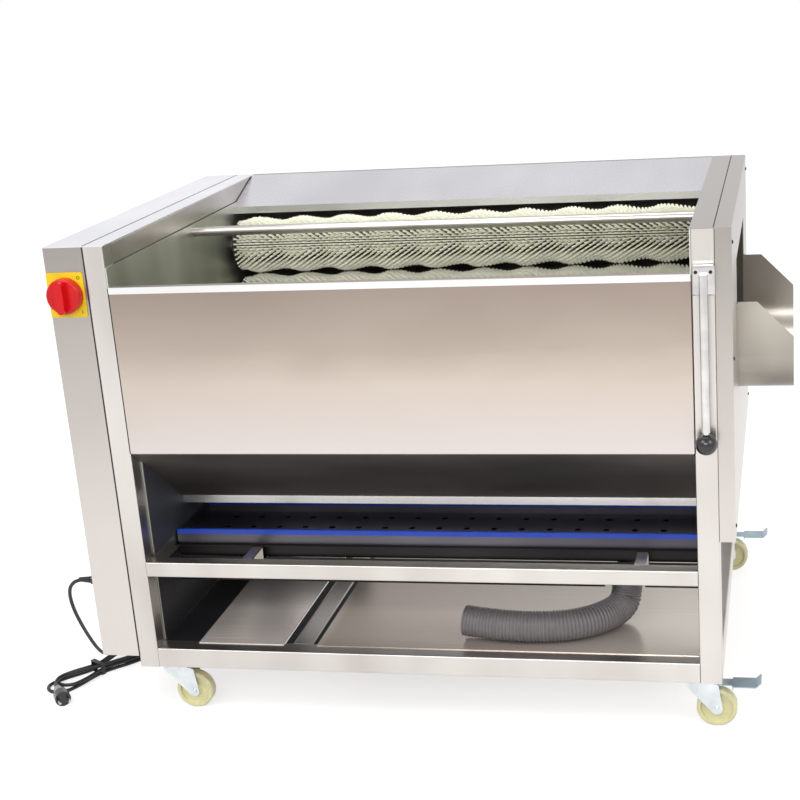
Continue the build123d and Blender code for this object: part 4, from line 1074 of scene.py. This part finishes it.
def make_deflector_highlight():
    """A painted highlight: a bright strip on the front deflector's turned lip."""
    low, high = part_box("deflectors")
    edge = (FRONT + BACK) / 2 - 215 * MM
    lip_bottom, lip_top = 377 * MM, 393 * MM
    lip_low = (low.x + 2 * MM, edge - 2.3 * MM, lip_bottom)
    lip_high = (high.x - 2 * MM, edge - 0.1 * MM, lip_top)
    blocks("deflector_painted_highlight", [(lip_low, lip_high)], "chassis", "bright")


SCREW_SIZES = {"Facing": (0.0, 0.0, 1.0), "Head Radius": 4.0 * MM}


def screw_tree():
    """A low tapered head on every given point, standing out the way that the screws face."""
    tree, given = start_tree("screw_heads", SCREW_SIZES)
    calculate = "ShaderNodeMath"
    crown = add(tree, calculate, (given["Head Radius"], 0.6), operation="MULTIPLY")
    height = add(tree, calculate, (given["Head Radius"], 0.55), operation="MULTIPLY")
    sizes = {"Vertices": 16, "Radius Top": crown, "Radius Bottom": given["Head Radius"], "Depth": height}
    cone = add(tree, "GeometryNodeMeshCone", sizes)
    head = add(tree, "GeometryNodeSetShadeSmooth", {"Geometry": cone, "Shade Smooth": False})
    aim = add(tree, "FunctionNodeAlignRotationToVector", {"Vector": given["Facing"]}, axis="Z")
    set_out = {"Points": given["Geometry"], "Instance": head, "Rotation": aim}
    return end_tree(tree, add(tree, "GeometryNodeInstanceOnPoints", set_out), given["Finish"])


def make_screws():
    """Small screws on the end cover, the drive box and the lever's hub."""
    tree = screw_tree()
    edge, drop, step_down, foot = 16 * MM, 28 * MM, 230 * MM, 26 * MM
    cover_places = [
        (RIGHT, y, z)
        for y in (FRONT + edge, BACK - edge)
        for z in (TOP - drop, TOP - step_down, cover_low.z + foot)
    ]
    box_places = [
        (LEFT, y, z)
        for y in (FRONT + 20 * MM, (FRONT + BACK) / 2, BACK - 20 * MM)
        for z in (box_low.z + 24 * MM, TOP - 40 * MM)
    ]
    hub_middle, hub_face, hub_drop, hub_reach = (lever_low.x + lever_high.x) / 2, 19 * MM, 10 * MM, 12.5 * MM
    hub_places = [
        (hub_middle + side * hub_reach, FRONT - hub_face, lever_high.z - hub_drop) for side in (-1, 1)
    ]
    for name, places, facing, radius, body, finish in (
        ("end_cover_screws", cover_places, (1.0, 0.0, 0.0), 4.0 * MM, "chassis", "dark_steel"),
        ("drive_box_screws", box_places, (-1.0, 0.0, 0.0), 3.5 * MM, "chassis", "bright_screw"),
        ("lever_screws", hub_places, (0.0, -1.0, 0.0), 3.2 * MM, "gate", "dark_steel"),
    ):
        sizes = {"Facing": facing, "Head Radius": radius}
        grown(tree, name, sizes, finish, body, places)


def make_race_seals():
    """Orange dust seals round the swivel races."""
    axis_from_fork, race, skirt, rim = 23.0 * MM, 22.6 * MM, 29.0 * MM, 30.0 * MM
    profile = [(-8.0 * MM, race), (-7.0 * MM, skirt), (-1.0 * MM, rim), (-1.0 * MM, race)]
    for number in range(1, 5):
        fork_low, fork_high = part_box(f"caster_fork_{number}")
        centre = (fork_low.x + axis_from_fork, (fork_low.y + fork_high.y) / 2, BASE - 2.5 * MM)
        name = f"race_seal_{number}"
        mesh = mesh_from_bmesh(lathe(profile, centre, "Z"), name, smooth=True)
        object_from(mesh, name, f"caster_{number}", "seal")


def make_switch_marks():
    """The black 0 and 1 beside the knob."""
    face, x = plate_low.y, plate_high.x - 9 * MM
    inner, outer, from_edge = 2.2 * MM, 3.2 * MM, 10 * MM
    profile = [(-SKIN, inner), (-SKIN, outer), (SKIN, outer), (SKIN, inner)]
    ring = lathe(profile, (x, face, plate_high.z - from_edge), "Y", 32)
    object_from(mesh_from_bmesh(ring, "mark_0"), "mark_0", "chassis", "black")
    half, z = 0.6 * MM, plate_low.z + from_edge
    corners = [((x - half, face - SKIN, z - outer), (x + half, face + SKIN, z + outer))]
    blocks("mark_1", corners, "chassis", "black")


finish_nodes()
make_camera()
make_studio()
make_floor()
make_brushes()
make_lead()
make_hose()
make_seams()
make_wall_shade_sheets()
make_gap_shade_strips()
make_tray_film()
make_rim_highlights()
make_pan_shade_apron()
make_deflector_highlight()
make_screws()
make_race_seals()
make_switch_marks()
